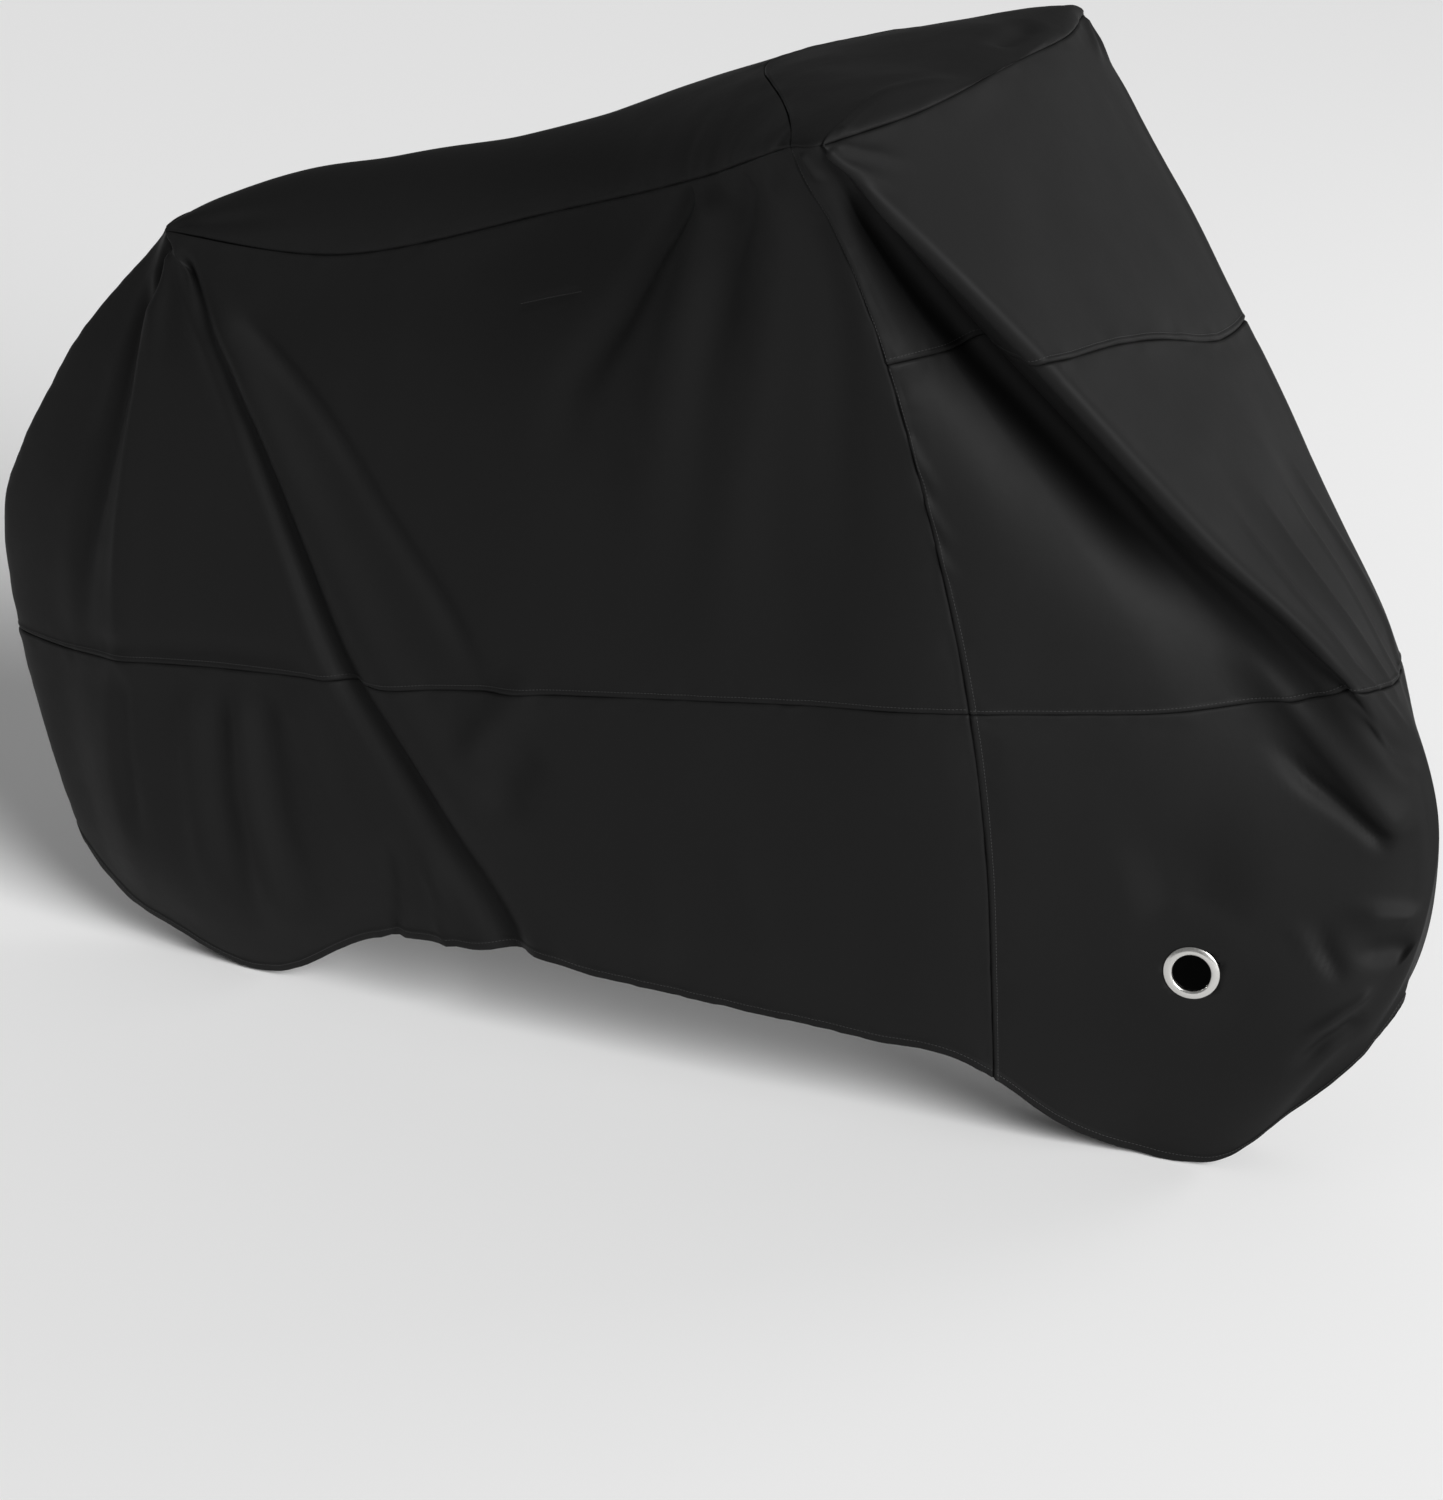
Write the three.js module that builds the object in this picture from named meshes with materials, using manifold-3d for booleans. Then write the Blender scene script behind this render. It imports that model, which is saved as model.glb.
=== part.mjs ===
// Motorcycle cover, draped: a hollow sewn shell of coated cloth, open at the bottom, with two big eyelets.
// Frame in millimetres: +X to the front, +Y to the left, +Z up, ground at z = 0.
// The origin is under the middle of the cover.
// The cloth is one surface. Side lines run down it from the top seam to the hem, levels run round it.
// The panels are cut from that surface along the sewing lines, and each is a closed sheet of its own.

import * as THREE from 'three';
import Module from 'manifold-3d';
import { mergeVertices } from 'three/addons/utils/BufferGeometryUtils.js';

// Driving dimensions
const SHEET = 1.5; // thickness of a panel
const GAP = 0.3; // between two pieces that meet
const LEFT_FOLDS = 0.85; // the hidden left side has the same folds, a little flatter
const FRONT_LINE = 15; // number of the front centre line
const CROSS_LINE = 9; // number of the line that the cross seam follows

// Levels, from the hem up: calf and knee are below the belt seam, waist and chest above it
const LEVEL = { hem: 0, calf: 0.25, knee: 0.62, belt: 1, waist: 1.5, chest: 2, top: 3 };
const CALF_SHARE = 0.25; // height of the calf, as a share from hem to belt
const KNEE_SHARE = 0.62;
const CHEST_SHARE = 0.62; // height of the chest, as a share from belt to top

// The side lines of the right half, from the rear centre to the front centre.
// Each level gives how far forward the line is and how far out. Hem, belt and top also give a height.
const LINES = [
  {
    name: 'rear centre',
    hem: [-850, 0, 130], calf: [-872, 0], knee: [-900, 0], belt: [-924, 0, 396],
    waist: [-934, 0], chest: [-850, 0], top: [-676, 0, 940],
  },
  {
    name: 'rear face',
    hem: [-790, 22, 80], calf: [-792, 48], knee: [-812, 58], belt: [-818, 62, 402],
    waist: [-816, 58], chest: [-755, 45], top: [-671, 14, 942],
  },
  {
    name: 'rear corner',
    hem: [-703, 36, 42], calf: [-703, 84], knee: [-710, 104], belt: [-698, 112, 420],
    waist: [-690, 102], chest: [-672, 80], top: [-664, 28, 945],
  },
  {
    name: 'rear pocket',
    hem: [-526, 42, 12], calf: [-530, 95], knee: [-540, 118], belt: [-545, 128, 438],
    waist: [-574, 118], chest: [-595, 102], top: [-659, 36, 947],
  },
  {
    name: 'pocket edge',
    hem: [-370, 78, 100], calf: [-380, 108], knee: [-420, 128], belt: [-455, 140, 448],
    waist: [-505, 130], chest: [-545, 115], top: [-654, 42, 948],
  },
  {
    name: 'rear crease',
    hem: [-190, 118, 130], calf: [-219, 128], knee: [-279, 142], belt: [-350, 150, 458],
    waist: [-425, 140], chest: [-498, 124], top: [-648, 48, 949],
  },
  {
    name: 'flank rear',
    hem: [-38, 125, 129], calf: [-65, 145], knee: [-111, 160], belt: [-160, 170, 484],
    waist: [-218, 162], chest: [-275, 145], top: [-392, 80, 957],
  },
  {
    name: 'flank middle',
    hem: [148, 130, 126], calf: [121, 150], knee: [79, 170], belt: [30, 185, 512],
    waist: [-6, 186], chest: [-40, 180], top: [-85, 112, 1052],
  },
  {
    name: 'flank front',
    hem: [314, 128, 120], calf: [300, 150], knee: [273, 172], belt: [248, 195, 542],
    waist: [220, 208], chest: [194, 235], top: [147, 230, 1141],
  },
  {
    name: 'cross seam',
    hem: [461, 110, 94], calf: [466, 135], knee: [466, 160], belt: [455, 190, 563],
    waist: [422, 218], chest: [379, 255], top: [307, 345, 1216],
  },
  {
    name: 'shoulder',
    hem: [530, 78, 38], calf: [555, 112], knee: [570, 132], belt: [560, 155, 568],
    waist: [490, 196], chest: [400, 238], top: [326, 354, 1220],
  },
  {
    name: 'front pocket',
    hem: [600, 48, 8], calf: [650, 92], knee: [680, 106], belt: [660, 118, 574],
    waist: [552, 156], chest: [424, 202], top: [338, 357, 1222],
  },
  {
    name: 'front hollow',
    hem: [700, 42, 8], calf: [790, 76], knee: [840, 60], belt: [768, 56, 588],
    waist: [608, 100], chest: [450, 172], top: [347, 354, 1224],
  },
  {
    name: 'front ridge',
    hem: [798, 42, 92], calf: [880, 44], knee: [920, 22], belt: [854, 72, 612],
    waist: [702, 164], chest: [552, 246], top: [358, 338, 1227],
  },
  {
    name: 'front face',
    hem: [866, 30, 163], calf: [917, 22], knee: [932, 8], belt: [872, 30, 608],
    waist: [724, 76], chest: [578, 120], top: [396, 190, 1234],
  },
  {
    name: 'front centre',
    hem: [906, 0, 230], calf: [930, 0], knee: [936, 0], belt: [878, 0, 606],
    waist: [730, 0], chest: [582, 0], top: [408, 0, 1243],
  },
];

// Height of the top strip's middle along X
const CREST = [
  { x: -676, z: 940 },
  { x: -655, z: 956 },
  { x: -574, z: 996 },
  { x: -354, z: 1062 },
  { x: -195, z: 1101 },
  { x: -92, z: 1137 },
  { x: 59, z: 1198 },
  { x: 158, z: 1231 },
  { x: 300, z: 1253 },
  { x: 370, z: 1253 },
  { x: 408, z: 1243 },
];

// The folds. Each path is a row of [line, level] places. Height is out of the cloth, negative is in.
// Width goes from the path's start to its end. Fade is the share of the path over which each end dies away.
const FOLDS = [
  {
    name: 'rear crease',
    path: [[5, 2.9], [4.85, 2.1], [4.92, 1.6], [4.9, 1.05], [5, 0.8], [5, 0.35], [5.08, 0]],
    width: [11, 26], height: -17, fade: [0.12, 0],
  },
  {
    name: 'crease left lip',
    path: [[4.75, 2.8], [4.62, 2.1], [4.68, 1.6], [4.66, 1.05], [4.75, 0.8], [4.75, 0.35]],
    width: [16, 26], height: 7, fade: [0.15, 0.3],
  },
  {
    name: 'crease right band',
    path: [[5.1, 2.75], [5.14, 2.1], [5.2, 1.6], [5.25, 1.05], [5.3, 0.65], [5.32, 0.15]],
    width: [26, 48], height: 15, fade: [0.15, 0.2],
  },
  {
    name: 'rear corner',
    path: [[2, 2.8], [2, 2], [2, 1], [2, 0.4]],
    width: [26, 40], height: 9, fade: [0.15, 0.3],
  },
  {
    name: 'tail tuck',
    path: [[2.3, 2.9], [1.8, 2.5], [1.8, 1.95], [1.75, 1.7]],
    width: [9, 14], height: -8, fade: [0.2, 0.5],
  },
  {
    name: 'tail lip',
    path: [[2.75, 2.85], [2.35, 2.5], [2.3, 2]],
    width: [12, 18], height: 5, fade: [0.2, 0.5],
  },
  {
    name: 'low pleat 1',
    path: [[2, 1], [2, 0.85], [2, 0.3]],
    width: [14, 18], height: -7, fade: [0.2, 0.3],
  },
  {
    name: 'low pleat 2',
    path: [[2.65, 0.98], [2.65, 0.6], [2.7, 0.2]],
    width: [18, 22], height: 6, fade: [0.2, 0.3],
  },
  {
    name: 'low pleat 3',
    path: [[2.93, 1], [2.87, 0.6], [2.95, 0.15]],
    width: [14, 18], height: -6, fade: [0.2, 0.3],
  },
  {
    name: 'low pleat 4',
    path: [[3.22, 0.98], [3.15, 0.6], [3.2, 0.1]],
    width: [16, 20], height: 7, fade: [0.2, 0.3],
  },
  {
    name: 'low pleat 5',
    path: [[3.6, 1], [3.45, 0.5], [3.5, 0.1]],
    width: [20, 28], height: -8, fade: [0.2, 0.2],
  },
  {
    name: 'low pleat 6',
    path: [[4.1, 1], [4.05, 0.6], [4.1, 0.2]],
    width: [26, 26], height: 7, fade: [0.2, 0.3],
  },
  {
    name: 'flank tuck',
    path: [[7.95, 2.9], [7.6, 2.68], [7.33, 2.36], [7.05, 2.08], [6.85, 1.7]],
    width: [12, 34], height: -13, fade: [0.12, 0.5],
  },
  {
    name: 'flank lip',
    path: [[8.2, 2.9], [8, 2.75], [7.62, 2.05], [7.4, 1.67], [7.25, 1.3]],
    width: [22, 52], height: 13, fade: [0.1, 0.4],
  },
  {
    name: 'bar fold',
    path: [[8.75, 2.9], [8.5, 2.6], [8.2, 2.1], [7.9, 1.7], [7.6, 1.25], [7.5, 0.9]],
    width: [20, 52], height: 10, fade: [0.12, 0.4],
  },
  {
    name: 'bar trough',
    path: [[8.45, 2.9], [8.1, 2.5], [7.85, 2.1], [7.65, 1.7]],
    width: [14, 34], height: -7, fade: [0.12, 0.5],
  },
  {
    name: 'seam trough',
    path: [[8.95, 2.8], [8.7, 2.2], [8.5, 1.7], [8.45, 1.2]],
    width: [18, 40], height: -7, fade: [0.15, 0.4],
  },
  {
    name: 'flank low fold',
    path: [[6.5, 1.08], [6, 0.9], [5.45, 0.7]],
    width: [24, 22], height: 9, fade: [0.3, 0.3],
  },
  {
    name: 'flank low trough',
    path: [[6.3, 0.85], [5.9, 0.7], [5.6, 0.5]],
    width: [26, 30], height: -7, fade: [0.3, 0.4],
  },
  {
    name: 'flank hem fold 1',
    path: [[6.75, 0.6], [6.65, 0.3], [6.55, 0.05]],
    width: [30, 24], height: 3, fade: [0.4, 0.3],
  },
  {
    name: 'flank hem fold 2',
    path: [[7.4, 0.7], [7.35, 0.35], [7.3, 0.05]],
    width: [36, 26], height: 3, fade: [0.4, 0.3],
  },
  {
    name: 'band bottom',
    path: [[12, 2.8], [12, 2.5], [12, 2], [12, 1.5], [12.1, 1.2]],
    width: [16, 28], height: -12, fade: [0.15, 0.3],
  },
  {
    name: 'band edge',
    path: [[12.6, 2.85], [12.85, 2.5], [13, 2], [13, 1.5], [13, 1.15]],
    width: [12, 16], height: 7, fade: [0.15, 0.3],
  },
  {
    name: 'band tuck',
    path: [[12.35, 1.5], [12.42, 1.33], [12.55, 1.11], [13, 0.9], [13.9, 0.78]],
    width: [10, 14], height: -14, fade: [0.3, 0.2],
  },
  {
    name: 'nose fold',
    path: [[11.7, 1.18], [12.05, 1], [12.3, 0.88], [12.55, 0.77], [12.85, 0.67]],
    width: [22, 20], height: 15, fade: [0.35, 0.15],
  },
  {
    name: 'nose tuck',
    path: [[11.7, 0.95], [11.93, 0.85], [12.23, 0.77], [12.6, 0.67]],
    width: [12, 10], height: -11, fade: [0.35, 0.2],
  },
  {
    name: 'nose rib',
    path: [[12, 0.6], [12.5, 0.545], [13.4, 0.44]],
    width: [14, 11], height: 8, fade: [0.3, 0.4],
  },
  {
    name: 'nose under',
    path: [[12.1, 0.52], [12.6, 0.46], [13.5, 0.36]],
    width: [16, 14], height: -9, fade: [0.3, 0.2],
  },
  {
    name: 'pocket tuck',
    path: [[11.85, 0.6], [11.95, 0.52], [12.25, 0.42]],
    width: [12, 10], height: -9, fade: [0.2, 0.3],
  },
  {
    name: 'pocket hollow',
    path: [[10.4, 0.62], [11, 0.66], [11.5, 0.6]],
    width: [55, 55], height: -9, fade: [0.4, 0.4],
  },
];
const FOLD_STEPS = 22; // straight bits that a fold's path is measured along
const LEVEL_WEIGHT = 3; // one level counts as three lines when a path is divided
const FOLD_REACH = 3; // widths from its path past which a fold is nothing
const CENTRE_CALM = 0.6; // lines beside the centre lines over which folds die away

// The eyelets: a spool-shaped metal ring in a flat round patch, low on the front pocket
const EYELET = {
  line: 11.13, level: 0.455,
  hole: 22, barrel: 23, flange: 32, patch: 45, flat: 48, blend: 45,
};

// Small curve helpers
const smooth = (t) => THREE.MathUtils.smoothstep(t, 0, 1);

// Curve through points at given knots, with slopes from the neighbours
class KnotCurve {
  constructor(knots, points) {
    this.knots = knots;
    this.points = points;
    this.slopes = points.map((point, i) => this.slopeAt(i));
  }

  slopeAt(i) {
    const { knots, points } = this;
    const last = points.length - 1;
    const chord = (a) => points[a + 1].clone().sub(points[a]).divideScalar(knots[a + 1] - knots[a]);
    if (i === 0) return chord(0);
    if (i === last) return chord(last - 1);
    const before = knots[i] - knots[i - 1];
    const after = knots[i + 1] - knots[i];
    return chord(i - 1).multiplyScalar(after).addScaledVector(chord(i), before).divideScalar(before + after);
  }

  at(knot) {
    const { knots, points, slopes } = this;
    let i = 0;
    while (i < knots.length - 2 && knot >= knots[i + 1]) i += 1;
    const span = knots[i + 1] - knots[i];
    const t = (knot - knots[i]) / span;
    const u = 1 - t;
    return points[i].clone().multiplyScalar((1 + 2 * t) * u * u)
      .addScaledVector(slopes[i], t * u * u * span)
      .addScaledVector(points[i + 1], t * t * (3 - 2 * t))
      .addScaledVector(slopes[i + 1], t * t * (t - 1) * span);
  }
}

// The plain drape: one point for a place (line, level) on the right side
const levelNames = Object.keys(LEVEL);
const levelKnots = Object.values(LEVEL);
const { lerp } = THREE.MathUtils;

function levelHeights(line) {
  const [hem, belt, top] = [line.hem[2], line.belt[2], line.top[2]];
  const chest = lerp(belt, top, CHEST_SHARE);
  const calf = lerp(hem, belt, CALF_SHARE);
  const knee = lerp(hem, belt, KNEE_SHARE);
  return { hem, calf, knee, belt, waist: (belt + chest) / 2, chest, top };
}

const net = LINES.map((line) => {
  const heights = levelHeights(line);
  return levelNames.map((name) => new THREE.Vector3(line[name][0], -line[name][1], heights[name]));
});

// Knots along the lines: mean distance from one line to the next at the belt and the chest
const LEAST_SPAN = 30;
const [beltColumn, chestColumn] = [levelNames.indexOf('belt'), levelNames.indexOf('chest')];
const flatDistance = (a, b) => Math.hypot(a.x - b.x, a.y - b.y);
const lineKnots = [0];
for (let i = 1; i < net.length; i += 1) {
  const belt = flatDistance(net[i][beltColumn], net[i - 1][beltColumn]);
  const chest = flatDistance(net[i][chestColumn], net[i - 1][chestColumn]);
  lineKnots.push(lineKnots[i - 1] + Math.max((belt + chest) / 2, LEAST_SPAN));
}

// Past the centre lines the curves run on into the mirrored side, so that they cross squarely
const mirrored = (point) => new THREE.Vector3(point.x, -point.y, point.z);
const knotsRound = [-lineKnots[1], ...lineKnots, 2 * lineKnots[FRONT_LINE] - lineKnots[FRONT_LINE - 1]];
const levelCurves = levelNames.map((name, column) => {
  const points = net.map((row) => row[column]);
  return new KnotCurve(knotsRound, [mirrored(points[1]), ...points, mirrored(points[FRONT_LINE - 1])]);
});

function lineKnot(line) {
  const i = Math.min(Math.floor(line), FRONT_LINE - 1);
  return lerp(lineKnots[i], lineKnots[i + 1], line - i);
}

const sideCurves = new Map();
function sideCurve(line) {
  if (!sideCurves.has(line)) {
    const knot = lineKnot(line);
    sideCurves.set(line, new KnotCurve(levelKnots, levelCurves.map((curve) => curve.at(knot))));
  }
  return sideCurves.get(line);
}

const drape = (line, level) => sideCurve(line).at(level);

const STEP = 0.01; // small step for slopes
function drapeNormal(line, level) {
  const along = drape(Math.min(line + STEP, FRONT_LINE), level).sub(drape(Math.max(line - STEP, 0), level));
  const up = drape(line, Math.min(level + STEP, LEVEL.top)).sub(drape(line, Math.max(level - STEP, 0)));
  return along.cross(up).normalize();
}

// Folds laid on the drape
function foldTrack(fold) {
  const lengths = [0];
  for (let i = 1; i < fold.path.length; i += 1) {
    const [a, b] = [fold.path[i - 1], fold.path[i]];
    lengths.push(lengths[i - 1] + Math.hypot(b[0] - a[0], (b[1] - a[1]) * LEVEL_WEIGHT));
  }
  const total = lengths[lengths.length - 1];
  const points = [];
  for (let k = 0; k < FOLD_STEPS; k += 1) {
    const reach = (total * k) / (FOLD_STEPS - 1);
    let i = 1;
    while (i < lengths.length - 1 && reach > lengths[i]) i += 1;
    const t = (reach - lengths[i - 1]) / (lengths[i] - lengths[i - 1]);
    const [a, b] = [fold.path[i - 1], fold.path[i]];
    points.push(drape(lerp(a[0], b[0], t), lerp(a[1], b[1], t)));
  }
  const room = new THREE.Box3().setFromPoints(points).expandByScalar(FOLD_REACH * Math.max(...fold.width));
  return { ...fold, points, room };
}

const tracks = FOLDS.map(foldTrack);
const segment = new THREE.Line3();
const nearest = new THREE.Vector3();

function foldHeight(point) {
  let height = 0;
  for (const track of tracks) {
    if (!track.room.containsPoint(point)) continue;
    let best = Infinity;
    let share = 0;
    for (let i = 1; i < track.points.length; i += 1) {
      segment.set(track.points[i - 1], track.points[i]);
      const t = segment.closestPointToPointParameter(point, true);
      const distance = segment.at(t, nearest).distanceTo(point);
      if (distance < best) {
        best = distance;
        share = (i - 1 + t) / (track.points.length - 1);
      }
    }
    const width = lerp(track.width[0], track.width[1], share);
    const [fadeIn, fadeOut] = track.fade;
    const start = fadeIn > 0 ? smooth(share / fadeIn) : 1;
    const end = fadeOut > 0 ? smooth((1 - share) / fadeOut) : 1;
    height += track.height * start * end * Math.exp(-((best / width) ** 2));
  }
  return height;
}

// The flat spot round the eyelet
const eyeletCentre = drape(EYELET.line, EYELET.level);
const eyeletNormal = drapeNormal(EYELET.line, EYELET.level);

// Places run round the cover: 0 to 15 are the lines of the right side, 15 to 30 run back along the left side
const ROUND = 2 * FRONT_LINE;
const lineOf = (place) => {
  const round = THREE.MathUtils.euclideanModulo(place, ROUND);
  return round > FRONT_LINE ? { line: ROUND - round, left: true } : { line: round, left: false };
};

// One point of the finished cloth
function cloth(place, level) {
  const { line, left } = lineOf(place);
  const point = drape(line, level);
  const calm = smooth(line / CENTRE_CALM) * smooth((FRONT_LINE - line) / CENTRE_CALM);
  const height = foldHeight(point) * calm * (left ? LEFT_FOLDS : 1);
  const flat = 1 - smooth((point.distanceTo(eyeletCentre) - EYELET.flat) / EYELET.blend);
  point.addScaledVector(drapeNormal(line, level), height * (1 - flat));
  const off = point.clone().sub(eyeletCentre).dot(eyeletNormal);
  point.addScaledVector(eyeletNormal, -off * flat);
  return left ? mirrored(point) : point;
}

function clothNormal(place, level) {
  const along = cloth(place + STEP, level).sub(cloth(place - STEP, level));
  const up = cloth(place, Math.min(level + STEP, LEVEL.top)).sub(cloth(place, Math.max(level - STEP, 0)));
  return along.cross(up).normalize();
}

// The top strip spans from the right top seam to the left one. Across goes from -1, right, to 1, left.
const NARROW = 80; // half width up to which the strip is a plain arch; wider, it's flatter over the middle
const crestCurve = new KnotCurve(
  CREST.map((row) => row.x),
  CREST.map((row) => new THREE.Vector3(row.x, 0, row.z)),
);

function strip(line, across) {
  const [right, left] = [cloth(line, LEVEL.top), cloth(ROUND - line, LEVEL.top)];
  const point = right.clone().lerp(left, (across + 1) / 2);
  const rise = Math.max(crestCurve.at(point.x).z - point.z, 0);
  const power = lerp(2, 2.6, smooth((-right.y - NARROW) / (LINES[CROSS_LINE].top[1] - NARROW)));
  point.z += rise * Math.sqrt(Math.max(1 - Math.abs(across) ** power, 0));
  return point;
}

function stripNormal(line, across) {
  const ahead = strip(Math.min(line + STEP, FRONT_LINE - STEP), across);
  const along = ahead.sub(strip(Math.max(line - STEP, STEP), across));
  const over = strip(line, Math.min(across + STEP, 1)).sub(strip(line, Math.max(across - STEP, -1)));
  return along.cross(over).normalize();
}

// Both pieces that meet at the top seam use the same slant there
function topSeamNormal(place) {
  const { line, left } = lineOf(place);
  const across = left || place === ROUND ? 1 : -1;
  return clothNormal(place, LEVEL.top).add(stripNormal(line, across)).normalize();
}

// Sewing lines that aren't straight in the surface's own measures.
// The front seam hangs lower towards the left, as the cloth sits a little skew.
const FRONT_SEAM = { right: 2, drop: 0.19, middle: 14.8, spread: 1.2 };
function frontSeamLevel(place) {
  const share = 0.5 + 0.5 * Math.tanh((place - FRONT_SEAM.middle) / FRONT_SEAM.spread);
  return FRONT_SEAM.right - FRONT_SEAM.drop * share;
}

// The cross seam swings back over the middle of the top strip
const CROSS_SWING = 1.1;
const crossLine = (across) => CROSS_LINE - CROSS_SWING * (1 - across * across);

// Closed sheet from a grid of places: outer face, inner face and the rim between them.
// The rim is drawn in by half a gap, square to the edge, so that pieces that meet stay apart.
const RIM_DRAW = GAP / 2 + 0.03;

function sheetGeometry(rows, columns, pointAt, normalAt) {
  const at = (i, j) => i * columns + j;
  const plain = [];
  const normals = [];
  for (let i = 0; i < rows; i += 1) {
    for (let j = 0; j < columns; j += 1) {
      plain.push(pointAt(i, j));
      normals.push(normalAt(i, j));
    }
  }
  const outer = plain.map((point) => point.clone());
  const within = (k, count) => Math.min(Math.max(k, 1), count - 2);
  const drawIn = (i, j, before, after) => {
    const along = plain[after].clone().sub(plain[before]).normalize();
    const draw = plain[at(within(i, rows), within(j, columns))].clone().sub(plain[at(i, j)]);
    const normal = normals[at(i, j)];
    draw.addScaledVector(along, -draw.dot(along)).addScaledVector(normal, -draw.dot(normal));
    outer[at(i, j)].add(draw.setLength(RIM_DRAW));
  };
  for (let j = 0; j < columns; j += 1) {
    const [before, after] = [Math.max(j - 1, 0), Math.min(j + 1, columns - 1)];
    for (const i of [0, rows - 1]) drawIn(i, j, at(i, before), at(i, after));
  }
  for (let i = 0; i < rows; i += 1) {
    const [before, after] = [Math.max(i - 1, 0), Math.min(i + 1, rows - 1)];
    for (const j of [0, columns - 1]) drawIn(i, j, at(before, j), at(after, j));
  }
  const inner = outer.map((point, k) => point.clone().addScaledVector(normals[k], -SHEET));
  const index = [];
  const count = rows * columns;
  const quad = (a, b, c, d) => index.push(a, b, c, a, c, d);
  for (let i = 0; i < rows - 1; i += 1) {
    for (let j = 0; j < columns - 1; j += 1) {
      // Both faces are split along the same, shorter diagonal
      let [a, b, c, d] = [at(i, j), at(i + 1, j), at(i + 1, j + 1), at(i, j + 1)];
      if (plain[b].distanceTo(plain[d]) < plain[a].distanceTo(plain[c])) [a, b, c, d] = [b, c, d, a];
      quad(a, b, c, d);
      quad(c + count, b + count, a + count, d + count);
    }
  }
  // Both walls at a seam are split along the same diagonal, from the end that is lower on this slant
  const slant = new THREE.Vector3(1, 0.1, 0.03);
  const wall = (a, b) => {
    if (plain[a].dot(slant) < plain[b].dot(slant)) quad(a + count, b + count, b, a);
    else quad(b + count, b, a, a + count);
  };
  for (let i = 0; i < rows - 1; i += 1) {
    wall(at(i + 1, columns - 1), at(i, columns - 1));
    wall(at(i, 0), at(i + 1, 0));
  }
  for (let j = 0; j < columns - 1; j += 1) {
    wall(at(0, j + 1), at(0, j));
    wall(at(rows - 1, j), at(rows - 1, j + 1));
  }
  const geometry = new THREE.BufferGeometry();
  const positions = [...outer, ...inner].flatMap((point) => point.toArray());
  geometry.setAttribute('position', new THREE.Float32BufferAttribute(positions, 3));
  geometry.setIndex(index);
  return geometry;
}

// A panel of the sides or the front: its places round the cover, and how its levels run at each place
function panelGeometry(places, levelsAt) {
  const columns = levelsAt(places[0]).length;
  const levels = places.map(levelsAt);
  return sheetGeometry(
    places.length,
    columns,
    (i, j) => cloth(places[i], levels[i][j]),
    (i, j) => (levels[i][j] === LEVEL.top ? topSeamNormal(places[i]) : clothNormal(places[i], levels[i][j])),
  );
}

// A piece of the top strip. It has the panels' places along its edges, and between them it follows lineFor.
// Its pointed end, the tip row, lies along the panels' edge on both sides of the centre line.
const STRIP_ACROSS = 10;
function stripGeometry(edgePlaces, lineFor, tip) {
  const across = Array.from({ length: STRIP_ACROSS + 1 }, (_, j) => -Math.cos((Math.PI * j) / STRIP_ACROSS));
  const lineAt = (i, j) => lineFor(edgePlaces[i], across[j]);
  const place = (i, j) => (across[j] < 0 ? lineAt(i, j) : ROUND - lineAt(i, j));
  const edge = (j) => j === 0 || j === STRIP_ACROSS;
  const tipShare = (j) => 1 - Math.abs(across[j]);
  const pointAt = (i, j) => {
    if (i !== tip.row) return strip(lineAt(i, j), across[j]);
    const corner = across[j] < 0 ? edgePlaces[i] : ROUND - edgePlaces[i];
    return cloth(corner, LEVEL.top).lerp(cloth(tip.place, LEVEL.top), tipShare(j));
  };
  const normalAt = (i, j) => {
    if (edge(j)) return topSeamNormal(place(i, j));
    if (i !== tip.row) return stripNormal(lineAt(i, j), across[j]);
    const corner = across[j] < 0 ? edgePlaces[i] : ROUND - edgePlaces[i];
    return topSeamNormal(corner).lerp(topSeamNormal(tip.place), tipShare(j)).normalize();
  };
  return sheetGeometry(edgePlaces.length, STRIP_ACROSS + 1, pointAt, normalAt);
}

// Materials
const CLOTH_LOOK = { color: '#1b1c1e', roughness: 0.5, metalness: 0 };
const METAL_LOOK = { color: '#c9cbcd', roughness: 0.25, metalness: 1 };
const clothMaterial = () => new THREE.MeshStandardMaterial(CLOTH_LOOK);
const metalMaterial = () => new THREE.MeshStandardMaterial(METAL_LOOK);

const cover = new THREE.Group();
function addPiece(name, geometry, material) {
  const mesh = new THREE.Mesh(geometry, material);
  mesh.name = name;
  cover.add(mesh);
  return mesh;
}

// Where the grid lines of the panels lie: closer together where the folds are
const REAR_PLACES = [
  0, 0.5, 1, 1.45, 1.75, 2, 2.3, 2.65, 2.92, 3.2, 3.5, 3.8, 4.1, 4.4, 4.62, 4.78,
  4.9, 5, 5.12, 5.3, 5.55, 5.95, 6.45, 6.9, 7.2, 7.45, 7.7, 8, 8.35, 8.65, 9,
];
const FRONT_PLACES = [
  9, 9.5, 10, 10.5, 11, 11.4, 11.75, 12, 12.3, 12.6, 12.85, 13.05, 13.3, 13.6, 14, 14.5, 14.8, 15,
];
const LOW_LEVELS = [0, 0.12, 0.25, 0.36, 0.46, 0.56, 0.66, 0.77, 0.88, 1];
const MIDDLE_SHARES = [0, 0.15, 0.3, 0.45, 0.6, 0.8, 1];
const UPPER_SHARES = [0, 0.2, 0.4, 0.6, 0.76, 0.9, 1];
const onLeft = (places) => places.map((place) => ROUND - place).reverse();
const frontPlaces = [...FRONT_PLACES, ...onLeft(FRONT_PLACES).slice(1)];
const between = (from, to, shares) => shares.map((share) => (share === 1 ? to : lerp(from, to, share)));
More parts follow.
